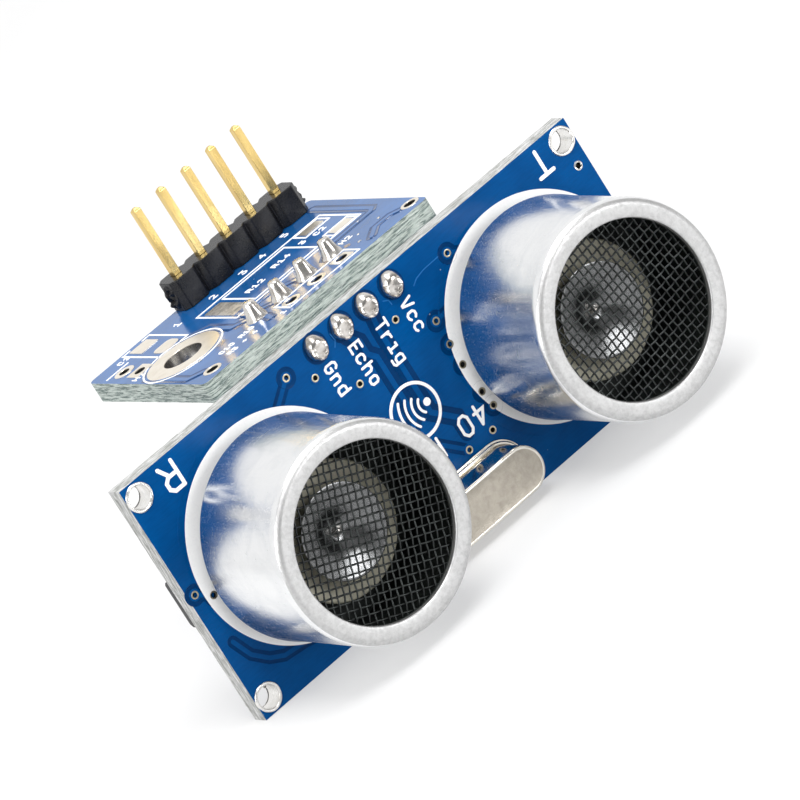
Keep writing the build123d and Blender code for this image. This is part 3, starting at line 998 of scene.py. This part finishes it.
def screen(side):
    """Woven wire: every wire goes over and under the ones that cross it."""
    level = round_part(side, "screen")[3] - 2 * WIRE_RADIUS
    put = moved(on_front, *can_centre(side), SCREEN_TURNS[side])
    chance = random.Random(side)
    bm = bmesh.new()
    for family, sign in ((0, 1), (1, -1)):
        own, other = SCREEN_PITCHES[family], SCREEN_PITCHES[1 - family]
        count = int(SCREEN_REACH / own)
        for k in range(-count, count + 1):
            offset = k * own + chance.uniform(-WIRE_STRAY, WIRE_STRAY)
            half = sqrt(max(SCREEN_REACH ** 2 - offset ** 2, 0.01))
            steps = max(4, int(8 * half / other))
            rings = []
            for i in range(steps + 1):
                s = -half + 2 * half * i / steps
                lift = level + sign * WEAVE_LIFT * cos(pi * (s / other + k))
                ring = []
                for j in range(WIRE_SIDES):
                    a = tau * j / WIRE_SIDES
                    d, h = WIRE_RADIUS * cos(a), WIRE_RADIUS * sin(a)
                    ring.append(put(offset + d, s, lift + h) if family == 0 else put(s, offset + d, lift + h))
                rings.append(ring + ring[:1])
            rows = strip(bm, rings)
            bm.faces.new(rows[0][:WIRE_SIDES])
            bm.faces.new(rows[-1][:WIRE_SIDES])
    piece(f"{side}_woven_screen", bm, (WIRE,), (f"{side}_screen",), sharp=80)


def dish(side):
    """The thin aluminium horn, darkened as painted shade, with its rolled mouth and the drop of glue in its
    throat.
    """
    put, reach, foot, mouth = round_part(side, "cone")
    rise = mouth - foot
    inner = [(0, foot + 0.16), (0.5, foot + 0.17), (0.75, foot + 0.26), (1.3, foot + 0.52 * rise),
             (2.1, foot + 0.76 * rise), (2.9, foot + 0.92 * rise), (3.3, mouth - 0.03)]
    lip = [(reach - 0.1, mouth), (reach, mouth - 0.04), (reach - 0.03, mouth - 0.12)]
    outer = [(3.25, mouth - 0.17), (2.85, foot + 0.80 * rise), (2.0, foot + 0.62 * rise),
             (1.2, foot + 0.38 * rise), (0.7, foot + 0.08), (0.6, foot), (0, foot)]
    bm = bmesh.new()
    turn(bm, inner + lip + outer, put, steps=96)
    drop = [(0, foot + 0.5), (0.14, foot + 0.48), (0.3, foot + 0.36), (0.42, foot + 0.2), (0.46, foot + 0.1)]
    turn(bm, drop, put, steps=32, material=1,
         wobble=lambda a, h: 1 + 0.1 * sin(2 * a + 1) + 0.05 * sin(5 * a))
    piece(f"{side}_dish", bm, (DISH_PAINTED_SHADE, SOLDER), (f"{side}_cone",), sharp=60)


def membrane(side):
    """The cream disc with a soft edge and a raised bonding ring."""
    put, reach, bottom, top = round_part(side, "diaphragm")
    profile = [(0, bottom), (reach - 0.1, bottom), (reach, bottom + 0.08), (reach, top - 0.1),
               (reach - 0.1, top), (4.5, top), (4.35, top - 0.04), (4.2, top), (3.75, top),
               (3.6, top + 0.05), (3.4, top + 0.05), (3.2, top), (0, top)]
    bm = bmesh.new()
    turn(bm, profile, put, steps=96)
    piece(f"{side}_membrane", bm, (CREAM,), (f"{side}_diaphragm",))


def transducers():
    for side in "rt":
        can(side)
        screen(side)
        dish(side)
        membrane(side)
        detailed(f"{side}_base", f"{side}_moulded_base", (BASE,), 0.12)
        paint(TIN, f"{side}_pins", f"{side}_leads")
        paint(SILICONE, f"{side}_damper_ring")
        paint(PIEZO, f"{side}_piezo_disc")


# ---- crystal

CRYSTAL_ROUND = 0.2
TOP_DIP = 0.016


def capsule(bm, profile, half, put, material=0, steps=40):
    """Like turn, but round a slot: two half circles joined by straight sides."""
    stations = [(half, pi * (i / steps - 0.5)) for i in range(steps + 1)]
    stations += [(-half, pi * (i / steps + 0.5)) for i in range(steps + 1)]
    rings = [[put(shift + r * cos(a), r * sin(a), h) for r, h in profile] for shift, a in stations]
    return strip(bm, rings, material, closed=True)


def crystal():
    """The crystal can: stepped flange, bright drawn side, thin bright edge and satin top."""
    low, high = box_mm("crystal_shell")
    flange_low, flange_high = box_mm("crystal_flange")
    put = moved(on_front, *centre((low, high)))
    radius, top = (high.z - low.z) / 2, FRONT_Y - low.y
    half = (high.x - low.x) / 2 - radius
    wide = (flange_high.z - flange_low.z) / 2
    flange_half = (flange_high.x - flange_low.x) / 2 - wide
    thick = FRONT_Y - flange_low.y
    bm = bmesh.new()
    flange = [(radius - 0.5, 0.0), (wide - 0.05, 0.0), (wide, 0.05), (wide, 0.19), (wide - 0.05, 0.25),
              (wide - 0.14, 0.26), (wide - 0.18, 0.3), (wide - 0.19, thick - 0.06), (wide - 0.24, thick),
              (wide - 0.34, thick), (wide - 0.38, thick - 0.08), (radius - 0.05, thick - 0.08)]
    capsule(bm, flange, flange_half, put)
    piece("crystal_base_flange", bm, (NICKEL_SIDE,), ("crystal_flange",))
    bm = bmesh.new()
    soft = CRYSTAL_ROUND
    side = [(radius + 0.05, thick - 0.1), (radius + 0.03, thick), (radius, thick + 0.12),
            (radius, top - soft)]
    side += arc(radius - soft, top - soft, soft, 12, 84, 8)
    side += [(radius - soft - 0.03, top - 0.006), (radius - soft - 0.06, top - TOP_DIP)]
    capsule(bm, side, half, put)
    rows = capsule(bm, [side[-1], (radius - 0.9, top - TOP_DIP)], half, put, material=1)
    bm.faces.new([row[-1] for row in rows[:-1]]).material_index = 1
    piece("crystal_can", bm, (NICKEL_SIDE, NICKEL_TOP), ("crystal_shell",), sharp=60)
    paint(TIN, "crystal_pins", "crystal_clips")
    paint(SEAL, "crystal_seals")
    paint(QUARTZ, "crystal_blank")


# ---- solder and pins

def drape(bm, put, half_u, half_v, shape, seed, rings=14, steps=44, skin=0.035):
    """A lump on a face whose height is given over the unit disc, with a lumpy skin."""
    grid = []
    for i in range(steps):
        a = tau * i / steps
        row = []
        for k in range(rings + 1):
            rho = 1 - k / rings
            u, v = rho * cos(a), rho * sin(a)
            ripple = noise.noise(Vector((2.1 * u, 2.1 * v, seed)))
            ripple += 0.5 * noise.noise(Vector((5.0 * u, 5.0 * v, seed + 7)))
            bulge = 1 + 0.05 * noise.noise(Vector((1.3 * cos(a), 1.3 * sin(a), seed + 3)))
            height = shape(u, v, rho) + skin * ripple * (1 - rho ** 4)
            row.append(put(u * half_u * bulge, v * half_v * bulge, height if rho < 1 else SUNK))
        grid.append(row)
    strip(bm, grid, closed=True)


def soft_min(a, b, crisp):
    """The lower of two heights, rounded off where they cross."""
    return -log(exp(-crisp * a) + exp(-crisp * b)) / crisp


def front_joint(seed):
    """A fat joint on a clipped pin: a smooth crown over the pin and a folded, pitted lower end."""
    sway = 0.12 * sin(3.1 * seed)
    pin_height, pin_reach = 0.64, 0.62
    fold_depth, pit_depth = 0.06, 0.22

    def shape(u, v, rho):
        body = soft_min(1.0 * (1 - rho ** 2.4) ** 0.6, 0.84 + 0.13 * v + sway * u, 7.0)
        fold = fold_depth * exp(-((v + 0.30 + 0.4 * (u - sway)) ** 2) / 0.03) * (1 - rho ** 4)
        pit = pit_depth * exp(-((u - 0.18 + sway) ** 2 + (v + 0.52) ** 2) / 0.022)
        over_pin = pin_height * exp(-(rho / pin_reach) ** 8)
        return -soft_min(-over_pin, fold + pit - body, 14.0)
    return shape


def front_solder():
    """Four joints where the link header comes through the front board."""
    bm = bmesh.new()
    for k, box in enumerate(islands("link_front_solder")):
        u, v = centre(box)
        drape(bm, moved(on_front, u, v + 0.15, 8 - 4 * k), 0.90, 1.09, front_joint(k + 1.0), 11.0 + k,
              rings=28, steps=72, skin=0.006)
    piece("front_solder_joints", bm, (SOLDER_BROWNED,), ("link_front_solder",), sharp=75)


def fillet_cone(bm, put, foot, tip, height, seed, top_round):
    """A solder fillet drawn up a square pin, with soft ridges over the pin's corners."""
    profile = [(foot * 1.06, SUNK), (foot * 1.05, 0.03), (foot, 0.09), (foot * 0.86, 0.24 * height),
               (tip + 0.42 * (foot - tip), 0.48 * height), (tip + 0.16 * (foot - tip), 0.74 * height),
               (tip, 0.94 * height)]
    if top_round:
        profile += [(tip * 0.86, height), (0, height * 1.01)]

    def wobble(a, h):
        ridge = 0.05 * cos(4 * a + 0.4) * (h / height)
        lump = 0.07 * noise.noise(Vector((1.4 * cos(a), 1.4 * sin(a), seed + 1.5 * h)))
        return 1 + ridge + lump
    turn(bm, profile, put, steps=40, wobble=wobble)


# CAD node, piece, face and its axes, foot and tip radius, height, and whether the tip is closed
FILLETS = (
    ("link_tail_solder", "tail_solder_joints", on_top, ACROSS_TOP, 0.84, 0.47, 1.385, True),
    ("plug_header_solder", "plug_solder_joints", on_under, ACROSS_TOP, 0.88, 0.44, 0.95, True),
    ("transducer_solder", "transducer_solder_joints", on_back, ACROSS_FRONT, 1.12, 0.5, 0.98, False),
    ("crystal_solder", "crystal_solder_joints", on_back, ACROSS_FRONT, 0.76, 0.32, 0.82, False),
)


def fillets():
    """Fillet cones in place of each solid of the other solder nodes."""
    for node, name, put, axes, foot, tip, height, top_round in FILLETS:
        bm = bmesh.new()
        for k, box in enumerate(islands(node)):
            face = moved(put, *centre(box, axes), 17 * k)
            fillet_cone(bm, face, foot, tip, height, 3.7 * k + len(name), top_round)
        piece(name, bm, (SOLDER,), (node,), sharp=70)


def headers():
    """Moulded header bodies and their square pins."""
    detailed("link_header_body", "link_header_moulding", (HEADER,), 0.07)
    detailed("plug_header_body", "plug_header_moulding", (HEADER,), 0.09)
    detailed("link_header_pins", "link_pins", (GOLD,), 0.04)
    detailed("plug_header_pins", "plug_pins", (GOLD,), 0.05)


def snapped_ends():
    """Rough scars where the five-way header was snapped from a longer strip."""
    low, high = box_mm("plug_header_body")
    middle = (low + high) / 2
    half_y, half_z = (high.y - low.y) / 2, (high.z - low.z) / 2
    bm = bmesh.new()
    for seed, side, x in ((3.0, -1, low.x), (5.0, 1, high.x)):
        def put(u, v, w, side=side, x=x):
            return Vector((x + side * (w - 0.05), middle.y + u, middle.z + v))

        def scar(u, v, rho, seed=seed):
            return (0.20 + 0.34 * noise.noise(Vector((3 * u, 3 * v, seed)))) * (1 - rho ** 6)
        drape(bm, put, 0.66 * half_y, 0.9 * half_z, scar, seed, steps=36, skin=0.16)
    piece("plug_header_scars", bm, (HEADER,), sharp=30)


# ---- adapter top

OPTION_HOLES = sorted(TOP_HOLES[50])
JUMPER_HOLES = sorted(TOP_HOLES[45], key=lambda spot: -spot[1])
PLUG_HOLES = [(u, v) for u, v in OPTION_HOLES if v > 15]
TOOLING_HOLES = [(u, v) for u, v in OPTION_HOLES if abs(u) > 9 and v < 5]
FOOTPRINT_HOLES = [(u, v) for u, v in OPTION_HOLES if abs(u) < 5 and v < 5]
ADAPTER_BORE = TOP_HOLES[160][0]

# Inner and outer radius of plated rings
BORE_RING = (1.57, 3.0)
FOOTPRINT_RING = (0.48, 0.79)
TOOLING_RING = (0.48, 0.75)
JUMPER_RING = (0.43, 0.82)
PLUG_RING_TOP = (0.47, 0.86)
PLUG_RING_UNDER = (0.47, 0.95)
TRANSDUCER_RING = (0.5, 1.35)
CRYSTAL_RING = (0.4, 0.95)
LINK_RING = (0.48, 0.92)
PIN_RINGS = (("r_pins", TRANSDUCER_RING), ("t_pins", TRANSDUCER_RING), ("crystal_pins", CRYSTAL_RING))

TOP_TRACKS = lines_of("""
    3.35,4.3 3.35,6.0 5.2,7.6 9.2,7.6 9.6,8.0 9.6,16.6
    0.8,4.3 0.8,6.6 -0.6,8.0 -2.7,8.0
    -1.75,4.3 -1.75,5.6 -3.4,7.2 -3.4,9.2
    -10.2,12.6 -10.2,11.9 -11.2,10.9 -11.2,5.0 -10.3,4.1
    -6.9,12.9 -5.0,11.0 -5.0,7.6 -3.6,6.2 -3.6,4.5 -3.8,3.6
    6.0,3.0 7.2,4.2 8.6,4.2 9.2,3.6
""")
FRAMES = lines_of("""
    -3.8,8.5 8.8,8.5 8.8,14.4 -3.8,14.4
    -1.5,9.1 4.8,9.1 4.8,13.9 -1.5,13.9
    6.0,12.4 8.4,12.4 8.4,14.15 6.0,14.15
    6.2,8.7 8.55,8.7 8.55,10.15 6.2,10.15
""")
BRACKETS = lines_of("""
    -7.9,18.4 -8.6,18.4 -8.6,12.7 -7.9,12.7
    -6.6,18.4 -5.9,18.4 -5.9,12.7 -6.6,12.7
    -2.6,2.55 4.4,2.55 4.4,4.75 -2.6,4.75 -2.6,2.55
    -11.4,16.6 -9.3,16.6
""")
BARE_PADS = ((-8.2, 16.15, -6.45, 18.05, 0.12), (-8.15, 13.05, -6.35, 14.75, 0.5),
             (6.25, 12.7, 8.1, 13.95, 0.1), (6.5, 8.85, 8.35, 9.95, 0.1))

# Text, place and height
TOP_TEXT = (
    ("C1", -9.6, 17.25, 0.6), ("H1", -11.45, 12.2, 0.6), ("C2", 6.3, 11.3, 0.6), ("R12", -0.75, 11.1, 0.62),
    ("R14", 2.3, 11.7, 0.62), ("3", 5.2, 11.8, 0.6), ("1", -4.9, 15.7, 0.75), ("2", -1.5, 15.3, 0.75),
    ("3", 1.5, 15.2, 0.75), ("4", 3.5, 15.3, 0.75), ("5", 6.1, 15.7, 0.75), ("C10 R10", -8.2, 4.4, 0.5),
    ("R3 + 4", -8.2, 3.2, 0.5), ("H2", 5.1, 5.9, 0.6), ("1", -3.35, 2.5, 0.5),
)

# Place, half length and half width of each flux stain, and the place of each speck
STAINS = ((-7.0, 6.3, 0.55, 0.35), (-2.0, 5.25, 0.5, 0.3), (0.3, 5.75, 0.45, 0.3), (2.9, 5.2, 0.4, 0.3),
          (4.9, 5.0, 0.35, 0.25), (-4.9, 6.7, 0.4, 0.22))
SPECKS = ((6.3, 5.3), (8.3, 5.2), (5.4, 3.9), (7.9, 7.6), (-5.6, 8.0), (-9.0, 6.4))


def tracks_and_gaps(faces, widths, step):
    """The meshes of the gaps and tracks along each face's lines."""
    gaps, tracks = bmesh.new(), bmesh.new()
    for put, lines in faces:
        for k, line in enumerate(lines):
            track(gaps, tracks, line, put, widths, (step * k, step * k))
    return gaps, tracks


def adapter_copper():
    """Tracks and gaps under the adapter's mask."""
    gaps, tracks = tracks_and_gaps([(on_top, TOP_TRACKS)], ADAPTER_WIDTHS, 0.0008)
    piece("adapter_copper_gaps", gaps, (MASK_ADAPTER_DEEP,))
    piece("adapter_copper_tracks", tracks, (MASK_ADAPTER,))


def square_pad(bm, u, v, half_u, half_v, soft, hole, put):
    """A plated pad round a drilled hole."""
    outline = rounded(u - half_u, v - half_v, u + half_u, v + half_v, soft)
    punched(bm, [outline, circle(u, v, hole, 32)], PAD_LEVEL, put)


def adapter_pads():
    """Bare plated rings and pads on both faces of the adapter."""
    bm = bmesh.new()
    for put in (on_top, on_under):
        plated_ring(bm, BORE_RING, moved(put, *ADAPTER_BORE), steps=96)
        for spot in FOOTPRINT_HOLES[:2]:
            plated_ring(bm, FOOTPRINT_RING, moved(put, *spot))
        square_pad(bm, *FOOTPRINT_HOLES[2], 0.78, 0.75, 0.06, 0.49, put)
        for spot in TOOLING_HOLES:
            plated_ring(bm, TOOLING_RING, moved(put, *spot))
        plated_ring(bm, JUMPER_RING, moved(put, *JUMPER_HOLES[0]))
        square_pad(bm, *JUMPER_HOLES[1], 0.84, 0.8, 0.08, 0.44, put)
    for spot in PLUG_HOLES:
        plated_ring(bm, PLUG_RING_TOP, moved(on_top, *spot))
        plated_ring(bm, PLUG_RING_UNDER, moved(on_under, *spot))
    for box in BARE_PADS:
        patch(bm, rounded(*box), on_top)
    piece("adapter_pads", bm, (CREAM_PAD,))
    bm = bmesh.new()
    patch(bm, rounded(-3.55, 9.35, -1.95, 13.65, 0.15), on_top)
    piece("adapter_tarnished_pad", bm, (TARNISHED,))


def adapter_markings():
    """Outlines of footprints and short generic numbering."""
    bm = bmesh.new()
    for lines, closed in ((FRAMES, True), (BRACKETS, False)):
        for line in lines:
            relief(bm, line, flat_section(0.17), on_top, closed)
    relief(bm, circle(*ADAPTER_BORE, BORE_RING[1] + 0.28, 96), flat_section(0.15), on_top, closed=True)
    for text, u, v, height in TOP_TEXT:
        letters(bm, text, moved(on_top, u, v), height, 0.13)
    piece("adapter_markings", bm, (INK,))


def adapter_residue():
    """Flux left by hand soldering round the link header's tails, and a few specks."""
    bm = bmesh.new()
    for k, (u, v, ru, rv) in enumerate(STAINS):
        profile = [(0, 0.05), (0.5 * ru, 0.045), (0.85 * ru, 0.03), (1.0 * ru, 0.022), (ru * 1.02, SUNK)]
        turn(bm, profile, moved(on_top, u, v, 25 * k), squash=rv / ru,
             wobble=lambda a, h, k=k: 1 + 0.22 * sin(2 * a + k) * sin(3 * a + 2 * k))
    piece("adapter_flux_residue", bm, (FLUX,))
    bm = bmesh.new()
    for k, (u, v) in enumerate(SPECKS):
        size = 0.11 + 0.03 * (k % 3)
        turn(bm, [(0, 0.07), (0.6 * size, 0.06), (size, 0.02), (size, SUNK)], moved(on_top, u, v), steps=14,
             squash=0.7, wobble=lambda a, h, k=k: 1 + 0.25 * sin(3 * a + k))
    piece("adapter_specks", bm, (TARNISHED,))


# ---- parts soldered flat

BACK_TRACKS = lines_of("""
    -12.9,3.6 -12.9,4.6 -11.4,6.1 -9.4,6.1; -12.9,-4.4 -11.2,-2.7 -9.6,-1.9
    13.3,3.6 12.0,4.9 10.4,6.1 9.4,6.2; 13.3,-4.4 13.3,-5.6 12.2,-6.7 10.0,-6.7
    -3.8,7.4 -3.8,4.6 -3.6,3.4; -1.27,7.4 -1.27,5.0 -1.07,3.4
    1.27,7.4 1.27,5.2 1.47,3.4; 3.8,7.4 3.8,5.6 4.01,3.4
    -2.34,-7.3 -2.34,-4.8; 2.54,-7.3 2.54,-6.0 1.5,-4.8
    -9.6,3.0 -10.6,3.0 -11.3,2.3 -11.3,0.6; -6.9,1.4 -5.6,1.4 -4.8,2.2
    9.5,2.6 10.6,2.6 11.0,3.0; 6.9,1.0 5.8,1.0 5.0,1.8
    9.5,-0.6 10.8,-0.6 11.2,-1.0; 6.9,-2.2 5.6,-2.2 4.9,-2.9
    -17.0,5.4 -17.0,4.4 -16.4,3.8; -19.0,5.4 -19.0,4.6 -20.2,3.6
    -17.4,-5.4 -17.4,-4.6 -16.8,-4.0; 17.6,5.4 17.6,4.6 17.2,4.1
    17.8,-5.6 17.8,-4.9 18.4,-4.2; 5.2,-6.0 5.2,-5.3 4.4,-4.5
""")
UNDER_TRACKS = lines_of("""
    -3.8,6.2 -3.8,7.6 -3.6,8.8; -1.27,6.2 -1.27,7.8 -1.07,8.8
    1.27,6.2 1.27,7.9 1.47,8.8; 3.8,6.2 3.8,7.9 4.01,8.8
    -1.7,17.2 -1.7,16.4 -2.3,15.2; 0.9,17.2 0.9,16.2 0.2,15.2
    3.4,17.2 3.4,16.2 2.74,15.2; 5.9,17.2 5.9,16.6 4.01,15.4
    7.6,9.2 7.6,8.0 6.0,6.4 4.6,6.2; -7.8,4.2 -7.8,3.2 -6.4,2.6 -2.6,2.6
""")
BACK_TEXT = (
    ("T", -14.9, 7.6, 1.1), ("R", 11.2, 7.6, 1.1), ("C1", 5.2, 7.4, 0.8), ("R1", 10.0, 3.6, 0.8),
    ("C2", -7.0, 7.2, 0.8), ("R2", -7.0, 3.5, 0.8), ("H1", -1.0, 5.3, 0.8), ("C3", -6.9, -8.2, 0.8),
    ("R3", -19.9, 8.2, 0.8), ("C4", 19.4, -8.6, 0.8), ("C5", -20.0, -8.6, 0.8), ("R4", 18.1, 8.2, 0.8),
)
UNDER_TEXT = (
    ("C1", 5.4, 14.6, 0.8), ("R1", 6.2, 6.9, 0.8), ("R2", 9.6, 6.9, 0.8), ("R3", -9.9, 11.6, 0.8),
    ("C2", -9.9, 14.6, 0.8), ("1", 4.6, 15.6, 0.8), ("5", -8.6, 15.9, 0.8),
)
BACK_CHIPS = ("receiver_amplifier", "controller", "transmit_driver", "transistor")
PAD_MARGIN = 0.1


def across(put):
    """Which two axes of a box lie in the plane of a face."""
    return ACROSS_FRONT if put in BOTH_SIDES else ACROSS_TOP


def footing(pads, joints, put, body_node, end_node, seed):
    """A pad under every lead, reaching outwards, with solder drawn up to the lead."""
    i, j = across(put)
    bodies = [centre(box, (i, j)) for box in islands(body_node)]
    for k, (low, high) in enumerate(islands(end_node)):
        u, v = centre((low, high), (i, j))
        half_u, half_v = (high[i] - low[i]) / 2, (high[j] - low[j]) / 2
        near = min(bodies, key=lambda spot: hypot(spot[0] - u, spot[1] - v))
        du, dv = u - near[0], v - near[1]
        along_u = half_u > half_v if max(half_u, half_v) > 0.6 else abs(du) > abs(dv)
        away = copysign(1, du if along_u else dv)
        reach, side = (half_u, half_v) if along_u else (half_v, half_u)

        def lay(out, aside):
            return (u + away * out, v + aside) if along_u else (u + aside, v + away * out)
        inner = 0.0 if reach > 0.3 else -reach - 0.12
        corners = lay(inner, -side - PAD_MARGIN), lay(reach + 0.32, side + PAD_MARGIN)
        (u0, u1), (v0, v1) = (sorted(pair) for pair in zip(*corners))
        patch(pads, rounded(u0, v0, u1, v1, 0.06), put)
        wide, deep = side + 0.08, 0.27
        drape(joints, moved(put, *lay(reach + 0.05, 0)), deep if along_u else wide, wide if along_u else deep,
              lambda a, b, rho: 0.05 + 0.2 * (1 - rho ** 2), seed + 0.7 * k, rings=5, steps=16)


def outlines(bm, put, node):
    """A printed outline round a chip, with a dot by pin one."""
    i, j = across(put)
    low, high = box_mm(node)
    margin, gap, edge = 0.45, 0.35, 22.2
    u0, u1 = max(low[i] - margin, -edge), min(high[i] + margin, edge)
    v0, v1 = low[j] + gap, high[j] - gap
    relief(bm, [(u0, v0), (u1, v0), (u1, v1), (u0, v1)], flat_section(0.15), put, closed=True)
    ink_dot(bm, put, u0 + 0.25, v0 - 0.6, 0.2, 0.22, 24)


def flat_parts():
    """Chips, transistor, resistors and capacitors, with the pads and joints on the hidden faces."""
    for name in (*BACK_CHIPS, "converter"):
        detailed(name, f"{name}_package", (EPOXY,), 0.06)
        detailed(f"{name}_leads", f"{name}_legs", (TIN,), 0.03)
    for where in ("back", "adapter"):
        detailed(f"{where}_resistors", f"{where}_resistor_chips", (GLAZE,), 0.04)
        detailed(f"{where}_resistor_ends", f"{where}_resistor_caps", (TIN,), 0.05)
        detailed(f"{where}_capacitors", f"{where}_capacitor_chips", (TAN,), 0.05)
        detailed(f"{where}_capacitor_ends", f"{where}_capacitor_caps", (TIN,), 0.06)
    pads, joints = bmesh.new(), bmesh.new()
    for name in (*BACK_CHIPS, "converter"):
        footing(pads, joints, on_under if name == "converter" else on_back, name, f"{name}_leads", 20.0)
    for where, put in (("back", on_back), ("adapter", on_under)):
        for kind in ("resistor", "capacitor"):
            footing(pads, joints, put, f"{where}_{kind}s", f"{where}_{kind}_ends", 40.0)
    for node, radii in PIN_RINGS:
        for box in islands(node):
            plated_ring(pads, radii, moved(on_back, *centre(box)))
    link_v = centre(islands("link_tail_solder")[0], ACROSS_TOP)[1]
    for u, v in HEADER_HOLES:
        plated_ring(pads, LINK_RING, moved(on_back, u, v))
        plated_ring(pads, LINK_RING, moved(on_under, u, link_v))
    piece("flat_part_pads", pads, (CREAM_PAD,))
    piece("flat_part_joints", joints, (SOLDER,), sharp=75)


def rear_copper():
    """Tracks and gaps on the faces that can't be seen from the front."""
    faces = [(on_back, BACK_TRACKS), (on_under, UNDER_TRACKS)]
    gaps, tracks = tracks_and_gaps(faces, REAR_WIDTHS, 0.0003)
    piece("rear_copper_gaps", gaps, (MASK_DEEP,))
    piece("rear_copper_tracks", tracks, (MASK,))


def rear_markings():
    """Chip outlines and generic numbering on the same faces."""
    bm = bmesh.new()
    for name in BACK_CHIPS[:3]:
        outlines(bm, on_back, name)
    outlines(bm, on_under, "converter")
    for texts, put in ((BACK_TEXT, read_on_back), (UNDER_TEXT, read_under)):
        for text, u, v, height in texts:
            letters(bm, text, moved(put, u, v), height, 0.16)
    piece("rear_markings", bm, (INK,))


# ---- stage

FLOOR_GAP = 0.02
FLOOR_REACH = 1500

# Name, place, side length and power of each square light; all point at the origin
SOFTBOXES = (
    ("key_above_front", (0, -300, 500), 250, 2.0),
    ("side_front_right", (250, -480, 100), 200, 1.0),
    ("side_low_left", (-420, -170, 200), 220, 0.8),
    ("top_light", (60, -60, 620), 400, 1.2),
)


def floor():
    """A broad pale sheet under the part."""
    bm = bmesh.new()
    level = cad_low.z / MM - FLOOR_GAP
    corners = ((-1, -1), (1, -1), (1, 1), (-1, 1))
    bm.faces.new([bm.verts.new((FLOOR_REACH * u, FLOOR_REACH * v, level)) for u, v in corners])
    mesh = metre_mesh("paper_floor", bm)
    mesh.materials.append(PAPER)
    obj = linked("paper_floor", mesh)


def facing(way):
    """The turn that points a camera or a light along a direction."""
    return way.to_track_quat("-Z", "Y").to_matrix().to_4x4()


def camera():
    lens = bpy.data.cameras.new("camera")
    lens.lens = CAMERA_LENS
    lens.sensor_width = 36
    lens.clip_end = 10
    obj = linked("camera", lens)
    azimuth, elevation = radians(CAMERA_AZIMUTH), radians(CAMERA_ELEVATION)
    out = Vector((sin(azimuth) * cos(elevation), -cos(azimuth) * cos(elevation),
                  sin(elevation)))
    spot = (Vector(CAMERA_AIM) + out * CAMERA_DISTANCE) * MM
    roll = Matrix.Rotation(radians(CAMERA_ROLL), 4, "Z")
    obj.matrix_world = Matrix.Translation(spot) @ facing(-out) @ roll
    bpy.context.scene.camera = obj


def lights():
    for name, spot, size, power in SOFTBOXES:
        data = bpy.data.lights.new(name, "AREA")
        data.shape = "RECTANGLE"
        data.size = data.size_y = size * MM
        data.energy = power
        obj = linked(name, data)
        obj.matrix_world = Matrix.Translation(Vector(spot) * MM) @ facing(-Vector(spot))


def surround():
    """A white studio all round, dimmer on the camera's side and overhead in places."""
    world = bpy.data.worlds.new("studio")
    bpy.context.scene.world = world
    world.use_nodes = True
    nodes = world.node_tree.nodes
    place = nodes.new("ShaderNodeTexCoord").outputs["Generated"]
    parts = connect(nodes.new("ShaderNodeSeparateXYZ"), Vector=place)
    behind = spread(parts.outputs["Y"], -0.55, 0.15)
    above = spread(parts.outputs["Z"], 0.0, 0.8)
    ahead = blended(above, grey(0.16), grey(0.40))
    connect(nodes["Background"], Color=blended(behind, ahead, grey(1.0)), Strength=1.0)


board("sensor_board", "front_board", 1, MASK, EDGE_FRONT, 0.04)
board("adapter_board", "rear_board", 2, MASK_ADAPTER, EDGE_ADAPTER, 0.09)
front_copper()
front_rings()
front_markings()
transducers()
crystal()
front_solder()
fillets()
headers()
snapped_ends()
adapter_copper()
adapter_pads()
adapter_markings()
adapter_residue()
flat_parts()
rear_copper()
rear_markings()
floor()
camera()
surround()
lights()
bpy.context.scene.view_settings.view_transform = "Standard"
